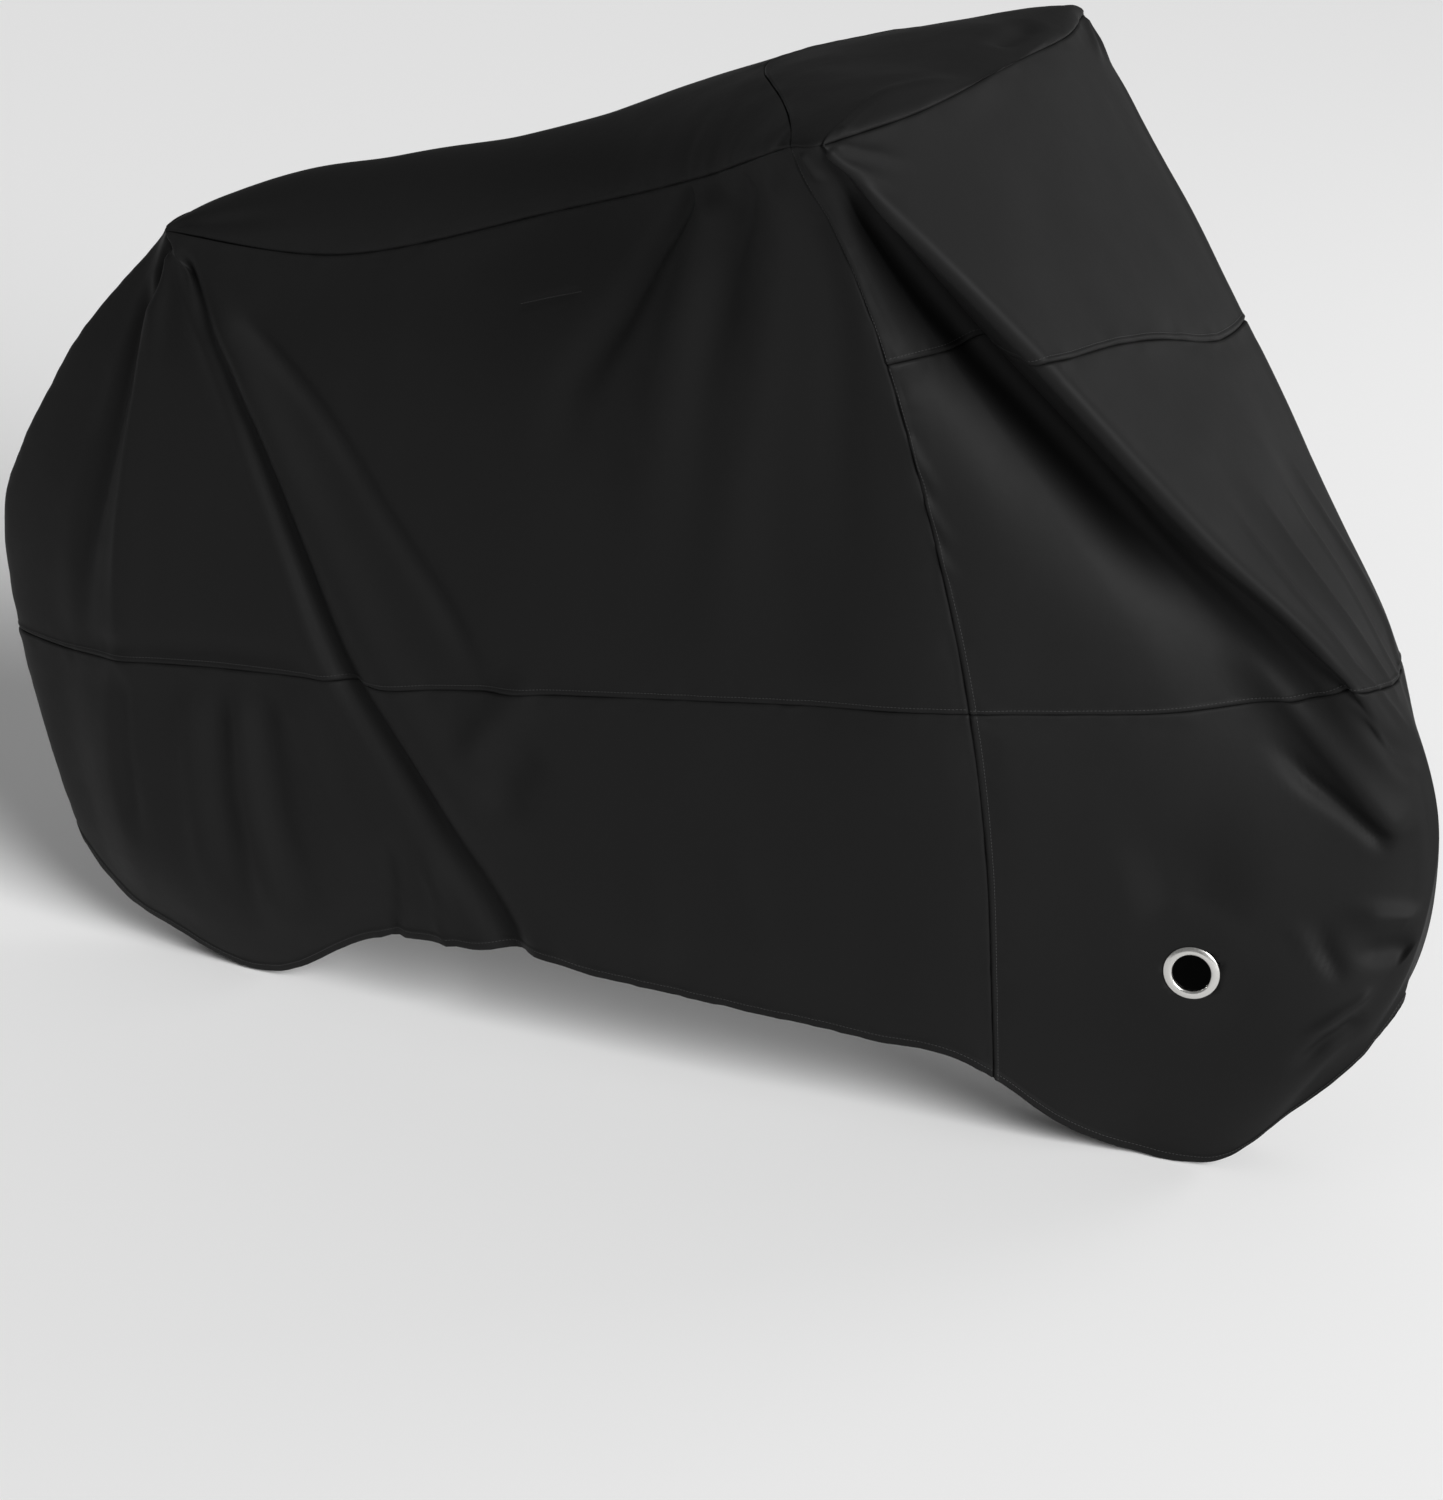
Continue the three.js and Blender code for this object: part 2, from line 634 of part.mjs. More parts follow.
const middleLevels = (place) => between(LEVEL.belt, frontSeamLevel(place), MIDDLE_SHARES);
const upperLevels = (place) => between(frontSeamLevel(place), LEVEL.top, UPPER_SHARES);
const highLevels = (place) => [...middleLevels(place), ...upperLevels(place).slice(1)];

function addSidePanels(side, places) {
  addPiece(`panel_side_${side}_lower`, panelGeometry(places, () => LOW_LEVELS), clothMaterial());
  addPiece(`panel_side_${side}_upper`, panelGeometry(places, highLevels), clothMaterial());
}

function addFrontPanels() {
  addPiece('panel_front_middle', panelGeometry(frontPlaces, middleLevels), clothMaterial());
  addPiece('panel_front_upper', panelGeometry(frontPlaces, upperLevels), clothMaterial());
}

// The top strip's two pieces, split by the cross seam. Its pointed ends stop just short of the centre lines.
function addStripPanels() {
  const rearLine = (place, across) => (place * crossLine(across)) / CROSS_LINE;
  const frontShare = (place) => (FRONT_LINE - place) / (FRONT_LINE - CROSS_LINE);
  const frontLine = (place, across) => FRONT_LINE - frontShare(place) * (FRONT_LINE - crossLine(across));
  const rearTip = { row: 0, place: 0 };
  const frontTip = { row: FRONT_PLACES.length - 2, place: FRONT_LINE };
  addPiece('panel_top_rear', stripGeometry(REAR_PLACES.slice(1), rearLine, rearTip), clothMaterial());
  addPiece('panel_top_front', stripGeometry(FRONT_PLACES.slice(0, -1), frontLine, frontTip), clothMaterial());
}

// The lower front panel, with a round hole on each side for the eyelet's patch
const wasm = await Module();
wasm.setup();

function toManifold(geometry) {
  const bare = new THREE.BufferGeometry();
  bare.setAttribute('position', geometry.getAttribute('position').clone());
  bare.setIndex(geometry.getIndex());
  const merged = mergeVertices(bare, 1e-4);
  const vertProperties = merged.getAttribute('position').array;
  const triVerts = Uint32Array.from(merged.getIndex().array);
  return new wasm.Manifold(new wasm.Mesh({ numProp: 3, vertProperties, triVerts }));
}

function fromManifold(solid) {
  const { vertProperties, triVerts } = solid.getMesh();
  const geometry = new THREE.BufferGeometry();
  geometry.setAttribute('position', new THREE.Float32BufferAttribute(vertProperties, 3));
  geometry.setIndex(Array.from(triVerts));
  return geometry;
}

// Turns a shape made round the Y axis so that it sits on the eyelet's axis, on the right or the left
function onEyelet(geometry, side) {
  const centre = side === 'left' ? mirrored(eyeletCentre) : eyeletCentre;
  const normal = side === 'left' ? mirrored(eyeletNormal) : eyeletNormal;
  const turn = new THREE.Quaternion().setFromUnitVectors(new THREE.Vector3(0, 1, 0), normal);
  return geometry.applyQuaternion(turn).translate(...centre.toArray());
}

const ROUND_STEPS = 40;
const HOLE_DEPTH = 60;
function addLowerFrontPanel() {
  let solid = toManifold(panelGeometry(frontPlaces, () => LOW_LEVELS));
  for (const side of ['right', 'left']) {
    const hole = new THREE.CylinderGeometry(EYELET.patch, EYELET.patch, HOLE_DEPTH, ROUND_STEPS);
    hole.deleteAttribute('normal');
    hole.deleteAttribute('uv');
    solid = solid.subtract(toManifold(onEyelet(hole, side)));
  }
  addPiece('panel_front_lower', fromManifold(solid), clothMaterial());
}

// Turned ring from a closed outline of [radius, height] points
function turned(outline) {
  const points = [...outline, outline[0]].map(([radius, height]) => new THREE.Vector2(radius, height));
  return new THREE.LatheGeometry(points, ROUND_STEPS);
}

function addEyelet(side) {
  const { hole, barrel, flange, patch } = EYELET;
  const lip = flange - barrel;
  const back = -SHEET;
  const patchOutline = [[barrel + GAP, back], [patch - GAP, back], [patch - GAP, 0], [barrel + GAP, 0]];
  const ringOutline = [
    [barrel, GAP],
    [flange - 0.6, GAP],
    [flange, 1.1],
    [barrel + lip * 0.75, 2.7],
    [barrel + lip * 0.4, 3.4],
    [barrel + lip * 0.1, 2.8],
    [hole, 1.4],
    [hole, back - 1],
    [barrel + lip * 0.25, back - 2.4],
    [barrel + lip * 0.7, back - 2.2],
    [flange - 0.5, back - 1],
    [flange - 1, back - GAP],
    [barrel, back - GAP],
  ];
  addPiece(`eyelet_patch_${side}`, onEyelet(turned(patchOutline), side), clothMaterial());
  addPiece(`eyelet_ring_${side}`, onEyelet(turned(ringOutline), side), metalMaterial());
}

addSidePanels('right', REAR_PLACES);
addSidePanels('left', onLeft(REAR_PLACES));
addFrontPanels();
addLowerFrontPanel();
addStripPanels();
addEyelet('right');
addEyelet('left');

export default cover;
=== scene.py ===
# Looks of the draped cover: fine folds, seams with their stitching, hem, metal eyelets, cloth and light.
# Shapes are worked out in millimetres and turned into metres when a mesh is made.
# Frame: +X to the front, +Y to the left, +Z up, ground at z = 0.

import math
from collections import namedtuple
from itertools import product

import bpy
import numpy as np
from mathutils import Matrix, Vector


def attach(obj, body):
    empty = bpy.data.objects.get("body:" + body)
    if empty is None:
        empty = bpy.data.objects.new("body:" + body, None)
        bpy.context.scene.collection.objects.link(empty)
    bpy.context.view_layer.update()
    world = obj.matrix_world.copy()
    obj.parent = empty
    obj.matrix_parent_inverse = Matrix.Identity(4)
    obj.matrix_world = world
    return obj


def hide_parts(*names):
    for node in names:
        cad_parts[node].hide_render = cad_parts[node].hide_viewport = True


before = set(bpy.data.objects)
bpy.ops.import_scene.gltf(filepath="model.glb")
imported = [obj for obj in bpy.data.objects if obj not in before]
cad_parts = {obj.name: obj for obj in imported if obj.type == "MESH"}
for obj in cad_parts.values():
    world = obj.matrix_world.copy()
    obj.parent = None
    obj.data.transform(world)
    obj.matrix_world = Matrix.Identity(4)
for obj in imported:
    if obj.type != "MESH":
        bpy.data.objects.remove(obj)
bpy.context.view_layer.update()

MM = 0.001  # metres in a millimetre

# Camera, found by fitting the cover's outline to the photograph
CAMERA_AZIMUTH = 25.9  # degrees round from the right side, towards the front
CAMERA_ELEVATION = 21.0
CAMERA_DISTANCE = 5.4484  # metres
CAMERA_TARGET = (0.0612, 0.0, 0.3908)
CAMERA_LENS = 110.98
SENSOR = 36.0
CLIP_END = 60


def make_camera():
    azimuth, elevation = math.radians(CAMERA_AZIMUTH), math.radians(CAMERA_ELEVATION)
    right = Vector((math.cos(azimuth), math.sin(azimuth), 0))
    level = Vector((-math.sin(azimuth), math.cos(azimuth), 0))
    ahead = level * math.cos(elevation) - Vector((0, 0, math.sin(elevation)))
    up = right.cross(ahead)
    data = bpy.data.cameras.new("camera")
    data.sensor_fit, data.sensor_width = "AUTO", SENSOR
    data.lens, data.clip_end = CAMERA_LENS, CLIP_END
    camera = bpy.data.objects.new("camera", data)
    bpy.context.scene.collection.objects.link(camera)
    turn = Matrix((right, up, -ahead)).transposed().to_4x4()
    camera.matrix_world = Matrix.Translation(Vector(CAMERA_TARGET) - ahead * CAMERA_DISTANCE) @ turn
    bpy.context.scene.camera = camera


make_camera()

# The cloth's net: side lines of the right half from the rear centre to the front centre.
# A place on the cloth is (line, level). Levels run up from the hem.
FRONT_LINE = 15
CROSS_LINE = 9
ROUND = 2 * FRONT_LINE
TOP = 3.0
BELT = 1.0
LEVELS = np.array([0, 0.25, 0.62, 1, 1.5, 2, 3.0])  # hem, calf, knee, belt, waist, chest, top
CALF_SHARE, KNEE_SHARE, CHEST_SHARE = 0.25, 0.62, 0.62
LEFT_FOLDS = 0.85  # the hidden side has the same folds, flatter

# Columns: forward and out at each level, with a height for hem, belt and top
Line = namedtuple("Line", "name hem calf knee belt waist chest top")
LINES = [
    Line("rear centre", (-850, 0, 130), (-872, 0), (-900, 0), (-924, 0, 396),
         (-934, 0), (-850, 0), (-676, 0, 940)),
    Line("rear face", (-790, 22, 80), (-792, 48), (-812, 58), (-818, 62, 402),
         (-816, 58), (-755, 45), (-671, 14, 942)),
    Line("rear corner", (-703, 36, 42), (-703, 84), (-710, 104), (-698, 112, 420),
         (-690, 102), (-672, 80), (-664, 28, 945)),
    Line("rear pocket", (-526, 42, 12), (-530, 95), (-540, 118), (-545, 128, 438),
         (-574, 118), (-595, 102), (-659, 36, 947)),
    Line("pocket edge", (-370, 78, 100), (-380, 108), (-420, 128), (-455, 140, 448),
         (-505, 130), (-545, 115), (-654, 42, 948)),
    Line("rear crease", (-190, 118, 130), (-219, 128), (-279, 142), (-350, 150, 458),
         (-425, 140), (-498, 124), (-648, 48, 949)),
    Line("flank rear", (-38, 125, 129), (-65, 145), (-111, 160), (-160, 170, 484),
         (-218, 162), (-275, 145), (-392, 80, 957)),
    Line("flank middle", (148, 130, 126), (121, 150), (79, 170), (30, 185, 512),
         (-6, 186), (-40, 180), (-85, 112, 1052)),
    Line("flank front", (314, 128, 120), (300, 150), (273, 172), (248, 195, 542),
         (220, 208), (194, 235), (147, 230, 1141)),
    Line("cross seam", (461, 110, 94), (466, 135), (466, 160), (455, 190, 563),
         (422, 218), (379, 255), (307, 345, 1216)),
    Line("shoulder", (530, 78, 38), (555, 112), (570, 132), (560, 155, 568),
         (490, 196), (400, 238), (326, 354, 1220)),
    Line("front pocket", (600, 48, 8), (650, 92), (680, 106), (660, 118, 574),
         (552, 156), (424, 202), (338, 357, 1222)),
    Line("front hollow", (700, 42, 8), (790, 76), (840, 60), (768, 56, 588),
         (608, 100), (450, 172), (347, 354, 1224)),
    Line("front ridge", (798, 42, 92), (880, 44), (920, 22), (854, 72, 612),
         (702, 164), (552, 246), (358, 338, 1227)),
    Line("front face", (866, 30, 163), (917, 22), (932, 8), (872, 30, 608),
         (724, 76), (578, 120), (396, 190, 1234)),
    Line("front centre", (906, 0, 230), (930, 0), (936, 0), (878, 0, 606),
         (730, 0), (582, 0), (408, 0, 1243)),
]

# Height of the top strip's middle: columns forward, up
CREST = np.array([
    (-676, 940), (-655, 956), (-574, 996), (-354, 1062), (-195, 1101), (-92, 1137),
    (59, 1198), (158, 1231), (300, 1253), (370, 1253), (408, 1243),
], float)
# Half widths between which the strip's arch gets flatter over its middle, and its power at both
NARROW_STRIP, WIDE_STRIP = 80, 345
NARROW_POWER, WIDE_POWER = 2, 2.6

# Folds: path is a row of (line, level) places, width in mm from its start to its end,
# height in mm, out where positive, and the share of the path over which each end dies away
Fold = namedtuple("Fold", "name path width height fade")
FOLDS = [
    Fold("rear crease", [(5, 2.9), (4.85, 2.1), (4.92, 1.6), (4.9, 1.05), (5, 0.8), (5, 0.35), (5.08, 0)],
         (11, 26), -17, (0.05, 0)),
    Fold("crease left lip",
         [(4.75, 2.8), (4.62, 2.1), (4.68, 1.6), (4.66, 1.05), (4.75, 0.8), (4.75, 0.35)],
         (16, 26), 7, (0.1, 0.3)),
    Fold("crease right band",
         [(5.1, 2.75), (5.14, 2.1), (5.2, 1.6), (5.25, 1.05), (5.3, 0.65), (5.32, 0.15)],
         (26, 48), 15, (0.15, 0.2)),
    Fold("rear corner", [(2, 2.8), (2, 2), (2, 1), (2, 0.4)], (26, 40), 9, (0.15, 0.3)),
    Fold("tail tuck", [(2.3, 2.95), (1.8, 2.5), (1.8, 1.95), (1.75, 1.7)], (8, 14), -9, (0.1, 0.5)),
    Fold("tail lip", [(2.75, 2.9), (2.35, 2.5), (2.3, 2)], (10, 18), 5, (0.1, 0.5)),
    Fold("low pleat 1", [(2, 1), (2, 0.85), (2, 0.3)], (14, 18), -7, (0.2, 0.3)),
    Fold("low pleat 2", [(2.65, 0.98), (2.65, 0.6), (2.7, 0.2)], (18, 22), 6, (0.2, 0.3)),
    Fold("low pleat 3", [(2.93, 1), (2.87, 0.6), (2.95, 0.15)], (14, 18), -6, (0.2, 0.3)),
    Fold("low pleat 4", [(3.22, 0.98), (3.15, 0.6), (3.2, 0.1)], (16, 20), 7, (0.2, 0.3)),
    Fold("low pleat 5", [(3.6, 1), (3.45, 0.5), (3.5, 0.1)], (20, 28), -8, (0.2, 0.2)),
    Fold("low pleat 6", [(4.1, 1), (4.05, 0.6), (4.1, 0.2)], (26, 26), 7, (0.2, 0.3)),
    Fold("notch tuck", [(4.45, 0.45), (4.3, 0.2), (4.15, 0)], (14, 10), -8, (0.4, 0)),
    Fold("notch gather", [(4.72, 0.4), (4.68, 0.18), (4.6, 0)], (12, 9), 6, (0.4, 0)),
    Fold("flank tuck", [(7.95, 2.97), (7.6, 2.68), (7.33, 2.36), (7.05, 2.08), (6.85, 1.7)],
         (12, 34), -13, (0.05, 0.5)),
    Fold("flank lip", [(8.2, 2.95), (8, 2.75), (7.62, 2.05), (7.4, 1.67), (7.25, 1.3)],
         (22, 52), 13, (0.08, 0.4)),
    Fold("bar fold", [(8.75, 2.97), (8.5, 2.6), (8.2, 2.1), (7.9, 1.7), (7.6, 1.25), (7.5, 0.9)],
         (20, 52), 10, (0.08, 0.4)),
    Fold("bar trough", [(8.45, 2.95), (8.1, 2.5), (7.85, 2.1), (7.65, 1.7)], (14, 34), -7, (0.08, 0.5)),
    Fold("seam trough", [(8.95, 2.8), (8.7, 2.2), (8.5, 1.7), (8.45, 1.2)], (18, 40), -7, (0.15, 0.4)),
    Fold("flank low fold", [(6.5, 1.08), (6, 0.9), (5.45, 0.7)], (24, 22), 9, (0.3, 0.3)),
    Fold("flank low trough", [(6.3, 0.85), (5.9, 0.7), (5.6, 0.5)], (26, 30), -7, (0.3, 0.4)),
    Fold("flank hem fold 1", [(6.75, 0.6), (6.65, 0.3), (6.55, 0.05)], (30, 24), 3, (0.4, 0.3)),
    Fold("flank hem fold 2", [(7.4, 0.7), (7.35, 0.35), (7.3, 0.05)], (36, 26), 3, (0.4, 0.3)),
    Fold("band bottom", [(12, 2.8), (12, 2.5), (12, 2), (12, 1.5), (12.1, 1.2)],
         (16, 28), -12, (0.15, 0.3)),
    Fold("band edge", [(12.6, 2.85), (12.85, 2.5), (13, 2), (13, 1.5), (13, 1.15)],
         (12, 16), 7, (0.15, 0.3)),
    Fold("band tuck", [(12.35, 1.5), (12.42, 1.33), (12.55, 1.11), (13, 0.9), (13.9, 0.78)],
         (10, 14), -14, (0.3, 0.2)),
    Fold("band rib", [(12.5, 1.06), (12.83, 0.96), (13.23, 0.86), (13.9, 0.8)], (8, 7), 7, (0.3, 0.4)),
    Fold("nose fold", [(11.7, 1.18), (12.05, 1), (12.3, 0.88), (12.55, 0.77), (12.85, 0.67)],
         (22, 20), 15, (0.35, 0.15)),
    Fold("nose tuck", [(11.7, 0.95), (11.93, 0.85), (12.23, 0.77), (12.6, 0.67)],
         (12, 10), -11, (0.35, 0.2)),
    Fold("face crease 1", [(13.9, 1.58), (13.65, 1.27), (13.55, 1.08), (13.95, 0.96), (14.5, 0.87)],
         (5, 5), 3.2, (0.2, 0.2)),
    Fold("face crease 2", [(14.6, 1.55), (14.5, 1.24), (14.62, 1.05), (14.8, 0.92)], (5, 5), 3, (0.2, 0.2)),
    Fold("face hollow", [(14.2, 1.7), (14, 1.3), (14.1, 1)], (26, 12), -3, (0.3, 0.2)),
    Fold("nose rib", [(12, 0.6), (12.5, 0.545), (13.4, 0.44)], (14, 11), 8, (0.3, 0.4)),
    Fold("nose under", [(12.1, 0.52), (12.6, 0.46), (13.5, 0.36)], (16, 14), -9, (0.3, 0.2)),
    Fold("pocket tuck", [(11.85, 0.6), (11.95, 0.52), (12.25, 0.42)], (12, 10), -8, (0.45, 0.5)),
    Fold("pocket lip", [(11.6, 0.6), (11.92, 0.5), (12.1, 0.44)], (9, 9), 3, (0.5, 0.5)),
    Fold("pocket hollow", [(10.4, 0.62), (11, 0.66), (11.5, 0.6)], (55, 55), -9, (0.4, 0.4)),
    Fold("hem hollow", [(12.05, 0.25), (12.35, 0.29), (12.9, 0.28)], (10, 10), -9, (0.3, 0.3)),
    Fold("hem lip", [(12, 0.33), (12.35, 0.36), (12.8, 0.36)], (7, 7), 5.5, (0.3, 0.3)),
    Fold("bar pucker 1", [(9.6, 2.98), (9.9, 2.88), (10.3, 2.8)], (6, 8), 5, (0.1, 0.5)),
    Fold("bar pucker 2", [(12.4, 2.98), (12.9, 2.87), (13.2, 2.74)], (6, 9), 5, (0.1, 0.5)),
    Fold("bar pucker 3", [(12.9, 2.99), (13.3, 2.9), (13.55, 2.8)], (6, 9), 4, (0.1, 0.5)),
    Fold("corner hollow", [(1.5, 2.75), (1.5, 2.1), (1.45, 1.5), (1.4, 0.9)], (12, 26), -10, (0.15, 0.35)),
    Fold("corner edge", [(1.95, 2.75), (1.95, 2.1), (1.95, 1.5), (1.95, 0.9)], (8, 12), 3.5, (0.15, 0.35)),
    Fold("short seam", [(6.75, 2.52), (7.12, 2.53)], (5, 5), -1.5, (0.15, 0.15)),
    Fold("crease right edge", [(5.3, 2.6), (5.52, 2.1), (5.68, 1.7), (5.9, 1.33), (6, 1), (6.03, 0.76)],
         (10, 20), -7, (0.15, 0.3)),
    Fold("belt shade", [(0.9, 1.05), (2.3, 1.06), (3.5, 1.06), (4.6, 1.07)], (12, 14), -4, (0.3, 0.2)),
    Fold("tail shade", [(2.4, 2.96), (3, 2.92), (3.6, 2.93), (4.2, 2.96)], (9, 12), -10, (0.25, 0.5)),
    Fold("corner tilt", [(2.5, 2.7), (2.6, 2), (2.6, 1.3), (2.5, 0.8)], (40, 90), 7, (0.3, 0.4)),
    Fold("crease low shade", [(4.98, 0.9), (5.05, 0.4), (5.1, 0)], (10, 30), -5, (0.4, 0)),
    Fold("sewing wrinkle 1", [(9.02, 1.8), (9.16, 1.7), (9.34, 1.61)], (5, 7), 3, (0.1, 0.5)),
    Fold("sewing wrinkle 2", [(9.02, 1.63), (9.15, 1.55), (9.32, 1.47)], (5, 7), 3, (0.1, 0.5)),
    Fold("sewing wrinkle 3", [(9.02, 1.5), (9.1, 1.43), (9.22, 1.38)], (5, 6), 2.5, (0.1, 0.5)),
]
# Folds of the top strip: the path is forward and left in mm
STRIP_FOLDS = [
    Fold("tail streak", [(-655, -38), (-600, -50), (-520, -58), (-440, -68)], (7, 6), -7, (0.15, 0.5)),
    Fold("bar rib", [(345, -285), (363, -193), (384, -134), (404, -70)], (13, 16), 5, (0.3, 0.4)),
    Fold("bar pocket", [(374, 30), (371, 104), (360, 190)], (14, 18), -9, (0.3, 0.3)),
    Fold("bar gather 1", [(352, -330), (372, -312), (392, -285)], (5, 7), 3, (0.2, 0.5)),
    Fold("bar gather 2", [(362, -338), (388, -318), (410, -292)], (5, 6), -3, (0.2, 0.5)),
]
FOLD_STEPS = 22
FOLD_REACH = 3.2  # widths from its path past which a fold is nothing
LEVEL_WEIGHT = 3  # one level counts as three lines when a path is divided
CALM_LINES = 0.6  # lines beside a centre line over which folds die away

# The eyelets
EYELET_LINE, EYELET_LEVEL = 11.13, 0.455
EYELET_FLAT, EYELET_BLEND = 46, 45  # radius of the flat spot and how far it takes to blend in
CLOTH_HOLE = 24.5


def smooth(t):
    t = np.clip(t, 0, 1)
    return t * t * (3 - 2 * t)


def lerp(a, b, t):
    return a + (b - a) * t


def hump(distance, width):
    return np.exp(-((distance / width) ** 2))


def unit(v):
    return v / np.maximum(np.linalg.norm(v, axis=-1, keepdims=True), 1e-9)


def knot_slopes(knots, values):
    """Slopes at the knots from the neighbours, for values of shape (..., knots, 3)."""
    spans = np.diff(knots)[:, None]
    chords = np.diff(values, axis=-2) / spans
    before, after = spans[:-1], spans[1:]
    inner = (chords[..., :-1, :] * after + chords[..., 1:, :] * before) / (before + after)
    return np.concatenate([chords[..., :1, :], inner, chords[..., -1:, :]], axis=-2)


def hermite(knots, low, high, slope_low, slope_high, i, at):
    span = (knots[i + 1] - knots[i])[:, None]
    t = ((at - knots[i]) / (knots[i + 1] - knots[i]))[:, None]
    u = 1 - t
    rise = t * t * (3 - 2 * t)
    return (1 - rise) * low + t * u * u * span * slope_low + rise * high - t * t * u * span * slope_high


def net_points():
    points = []
    for line in LINES:
        hem, belt, top = line.hem[2], line.belt[2], line.top[2]
        chest = lerp(belt, top, CHEST_SHARE)
        calf, knee = lerp(hem, belt, CALF_SHARE), lerp(hem, belt, KNEE_SHARE)
        heights = (hem, calf, knee, belt, (belt + chest) / 2, chest, top)
        points.append([(place[0], -place[1], height) for place, height in zip(line[1:], heights)])
    return np.array(points, float)


MIRROR = np.array([1.0, -1.0, 1.0])
NET = net_points()
BELT_COLUMN, CHEST_COLUMN = 3, 5
LEAST_SPAN = 30  # mm that any two lines are taken to be apart at least
steps = np.linalg.norm(np.diff(NET[:, [BELT_COLUMN, CHEST_COLUMN], :2], axis=0), axis=2).mean(axis=1)
LINE_MM = np.concatenate([[0], np.cumsum(np.maximum(steps, LEAST_SPAN))])  # how far round each line is
ROUND_NET = np.concatenate([NET[1:2] * MIRROR, NET, NET[-2:-1] * MIRROR]).transpose(1, 0, 2)
ROUND_KNOTS = np.concatenate([[-LINE_MM[1]], LINE_MM, [2 * LINE_MM[-1] - LINE_MM[-2]]])
ROUND_SLOPES = knot_slopes(ROUND_KNOTS, ROUND_NET)


def drape(line, level):
    """The plain drape without folds, on the right side. Takes arrays of one length."""
    at = np.interp(line, np.arange(FRONT_LINE + 1), LINE_MM)
    i = np.clip(np.searchsorted(ROUND_KNOTS, at, side="right") - 1, 0, len(ROUND_KNOTS) - 2)
    column = np.stack([
        hermite(ROUND_KNOTS, row[i], row[i + 1], slopes[i], slopes[i + 1], i, at)
        for row, slopes in zip(ROUND_NET, ROUND_SLOPES)
    ], axis=1)
    slopes = knot_slopes(LEVELS, column)
    k = np.clip(np.searchsorted(LEVELS, level, side="right") - 1, 0, len(LEVELS) - 2)
    n = np.arange(len(line))
    return hermite(LEVELS, column[n, k], column[n, k + 1], slopes[n, k], slopes[n, k + 1], k, level)


STEP = 0.01  # of a line or level, for slopes


def drape_normal(line, level):
    along = drape(np.minimum(line + STEP, FRONT_LINE), level) - drape(np.maximum(line - STEP, 0), level)
    up = drape(line, np.minimum(level + STEP, TOP)) - drape(line, np.maximum(level - STEP, 0))
    return unit(np.cross(along, up))


def fold_track(fold):
    path = np.array(fold.path, float)
    bits = np.hypot(np.diff(path[:, 0]), np.diff(path[:, 1]) * LEVEL_WEIGHT)
    lengths = np.concatenate([[0], np.cumsum(bits)])
    at = np.linspace(0, lengths[-1], FOLD_STEPS)
    return drape(np.interp(at, lengths, path[:, 0]), np.interp(at, lengths, path[:, 1]))


TRACKS = [(fold, fold_track(fold)) for fold in FOLDS]


def near_track(points, track):
    """Distance from each point to a row of straight bits, and how far along that row it is."""
    a, ab = track[:-1], np.diff(track, axis=0)
    t = np.clip(((points[:, None] - a) * ab).sum(2) / (ab ** 2).sum(1), 0, 1)
    distance = np.linalg.norm(a + t[..., None] * ab - points[:, None], axis=2)
    j, n = distance.argmin(1), np.arange(len(points))
    return distance[n, j], (j + t[n, j]) / len(a)


def fold_height(points, tracks=TRACKS):
    height = np.zeros(len(points))
    for fold, track in tracks:
        reach = FOLD_REACH * max(fold.width)
        inside = np.flatnonzero(((points > track.min(0) - reach) & (points < track.max(0) + reach)).all(1))
        if not len(inside):
            continue
        distance, share = near_track(points[inside], track)
        ends = np.ones(len(inside))
        if fold.fade[0]:
            ends *= smooth(share / fold.fade[0])
        if fold.fade[1]:
            ends *= smooth((1 - share) / fold.fade[1])
        height[inside] += fold.height * ends * hump(distance, lerp(*fold.width, share))
    return height


def single(function, line, level):
    return function(np.array([float(line)]), np.array([float(level)]))[0]


EYELET_CENTRE = single(drape, EYELET_LINE, EYELET_LEVEL)
EYELET_NORMAL = single(drape_normal, EYELET_LINE, EYELET_LEVEL)


def side_of(place):
    """Places run round the cover: 0 to 15 along the right side, 15 to 30 back along the left."""
    place = np.mod(place, ROUND)
    left = place > FRONT_LINE
    return np.where(left, ROUND - place, place), left


def cloth(place, level):
    line, left = side_of(place)
    point = drape(line, level)
    calm = smooth(line / CALM_LINES) * smooth((FRONT_LINE - line) / CALM_LINES)
    height = fold_height(point) * calm * np.where(left, LEFT_FOLDS, 1)
    flat = 1 - smooth((np.linalg.norm(point - EYELET_CENTRE, axis=1) - EYELET_FLAT) / EYELET_BLEND)
    point = point + drape_normal(line, level) * (height * (1 - flat))[:, None]
    off = (point - EYELET_CENTRE) @ EYELET_NORMAL
    point = point - EYELET_NORMAL * (off * flat)[:, None]
    return np.where(left[:, None], point * MIRROR, point)


CREST_POINTS = np.stack([CREST[:, 0], 0 * CREST[:, 0], CREST[:, 1]], axis=1)
CREST_SLOPES = knot_slopes(CREST[:, 0], CREST_POINTS)


def crest_height(x):
    knots = CREST[:, 0]
    x = np.clip(x, knots[0], knots[-1])
    i = np.clip(np.searchsorted(knots, x, side="right") - 1, 0, len(knots) - 2)
    low, high = CREST_POINTS[i], CREST_POINTS[i + 1]
    return hermite(knots, low, high, CREST_SLOPES[i], CREST_SLOPES[i + 1], i, x)[:, 2]


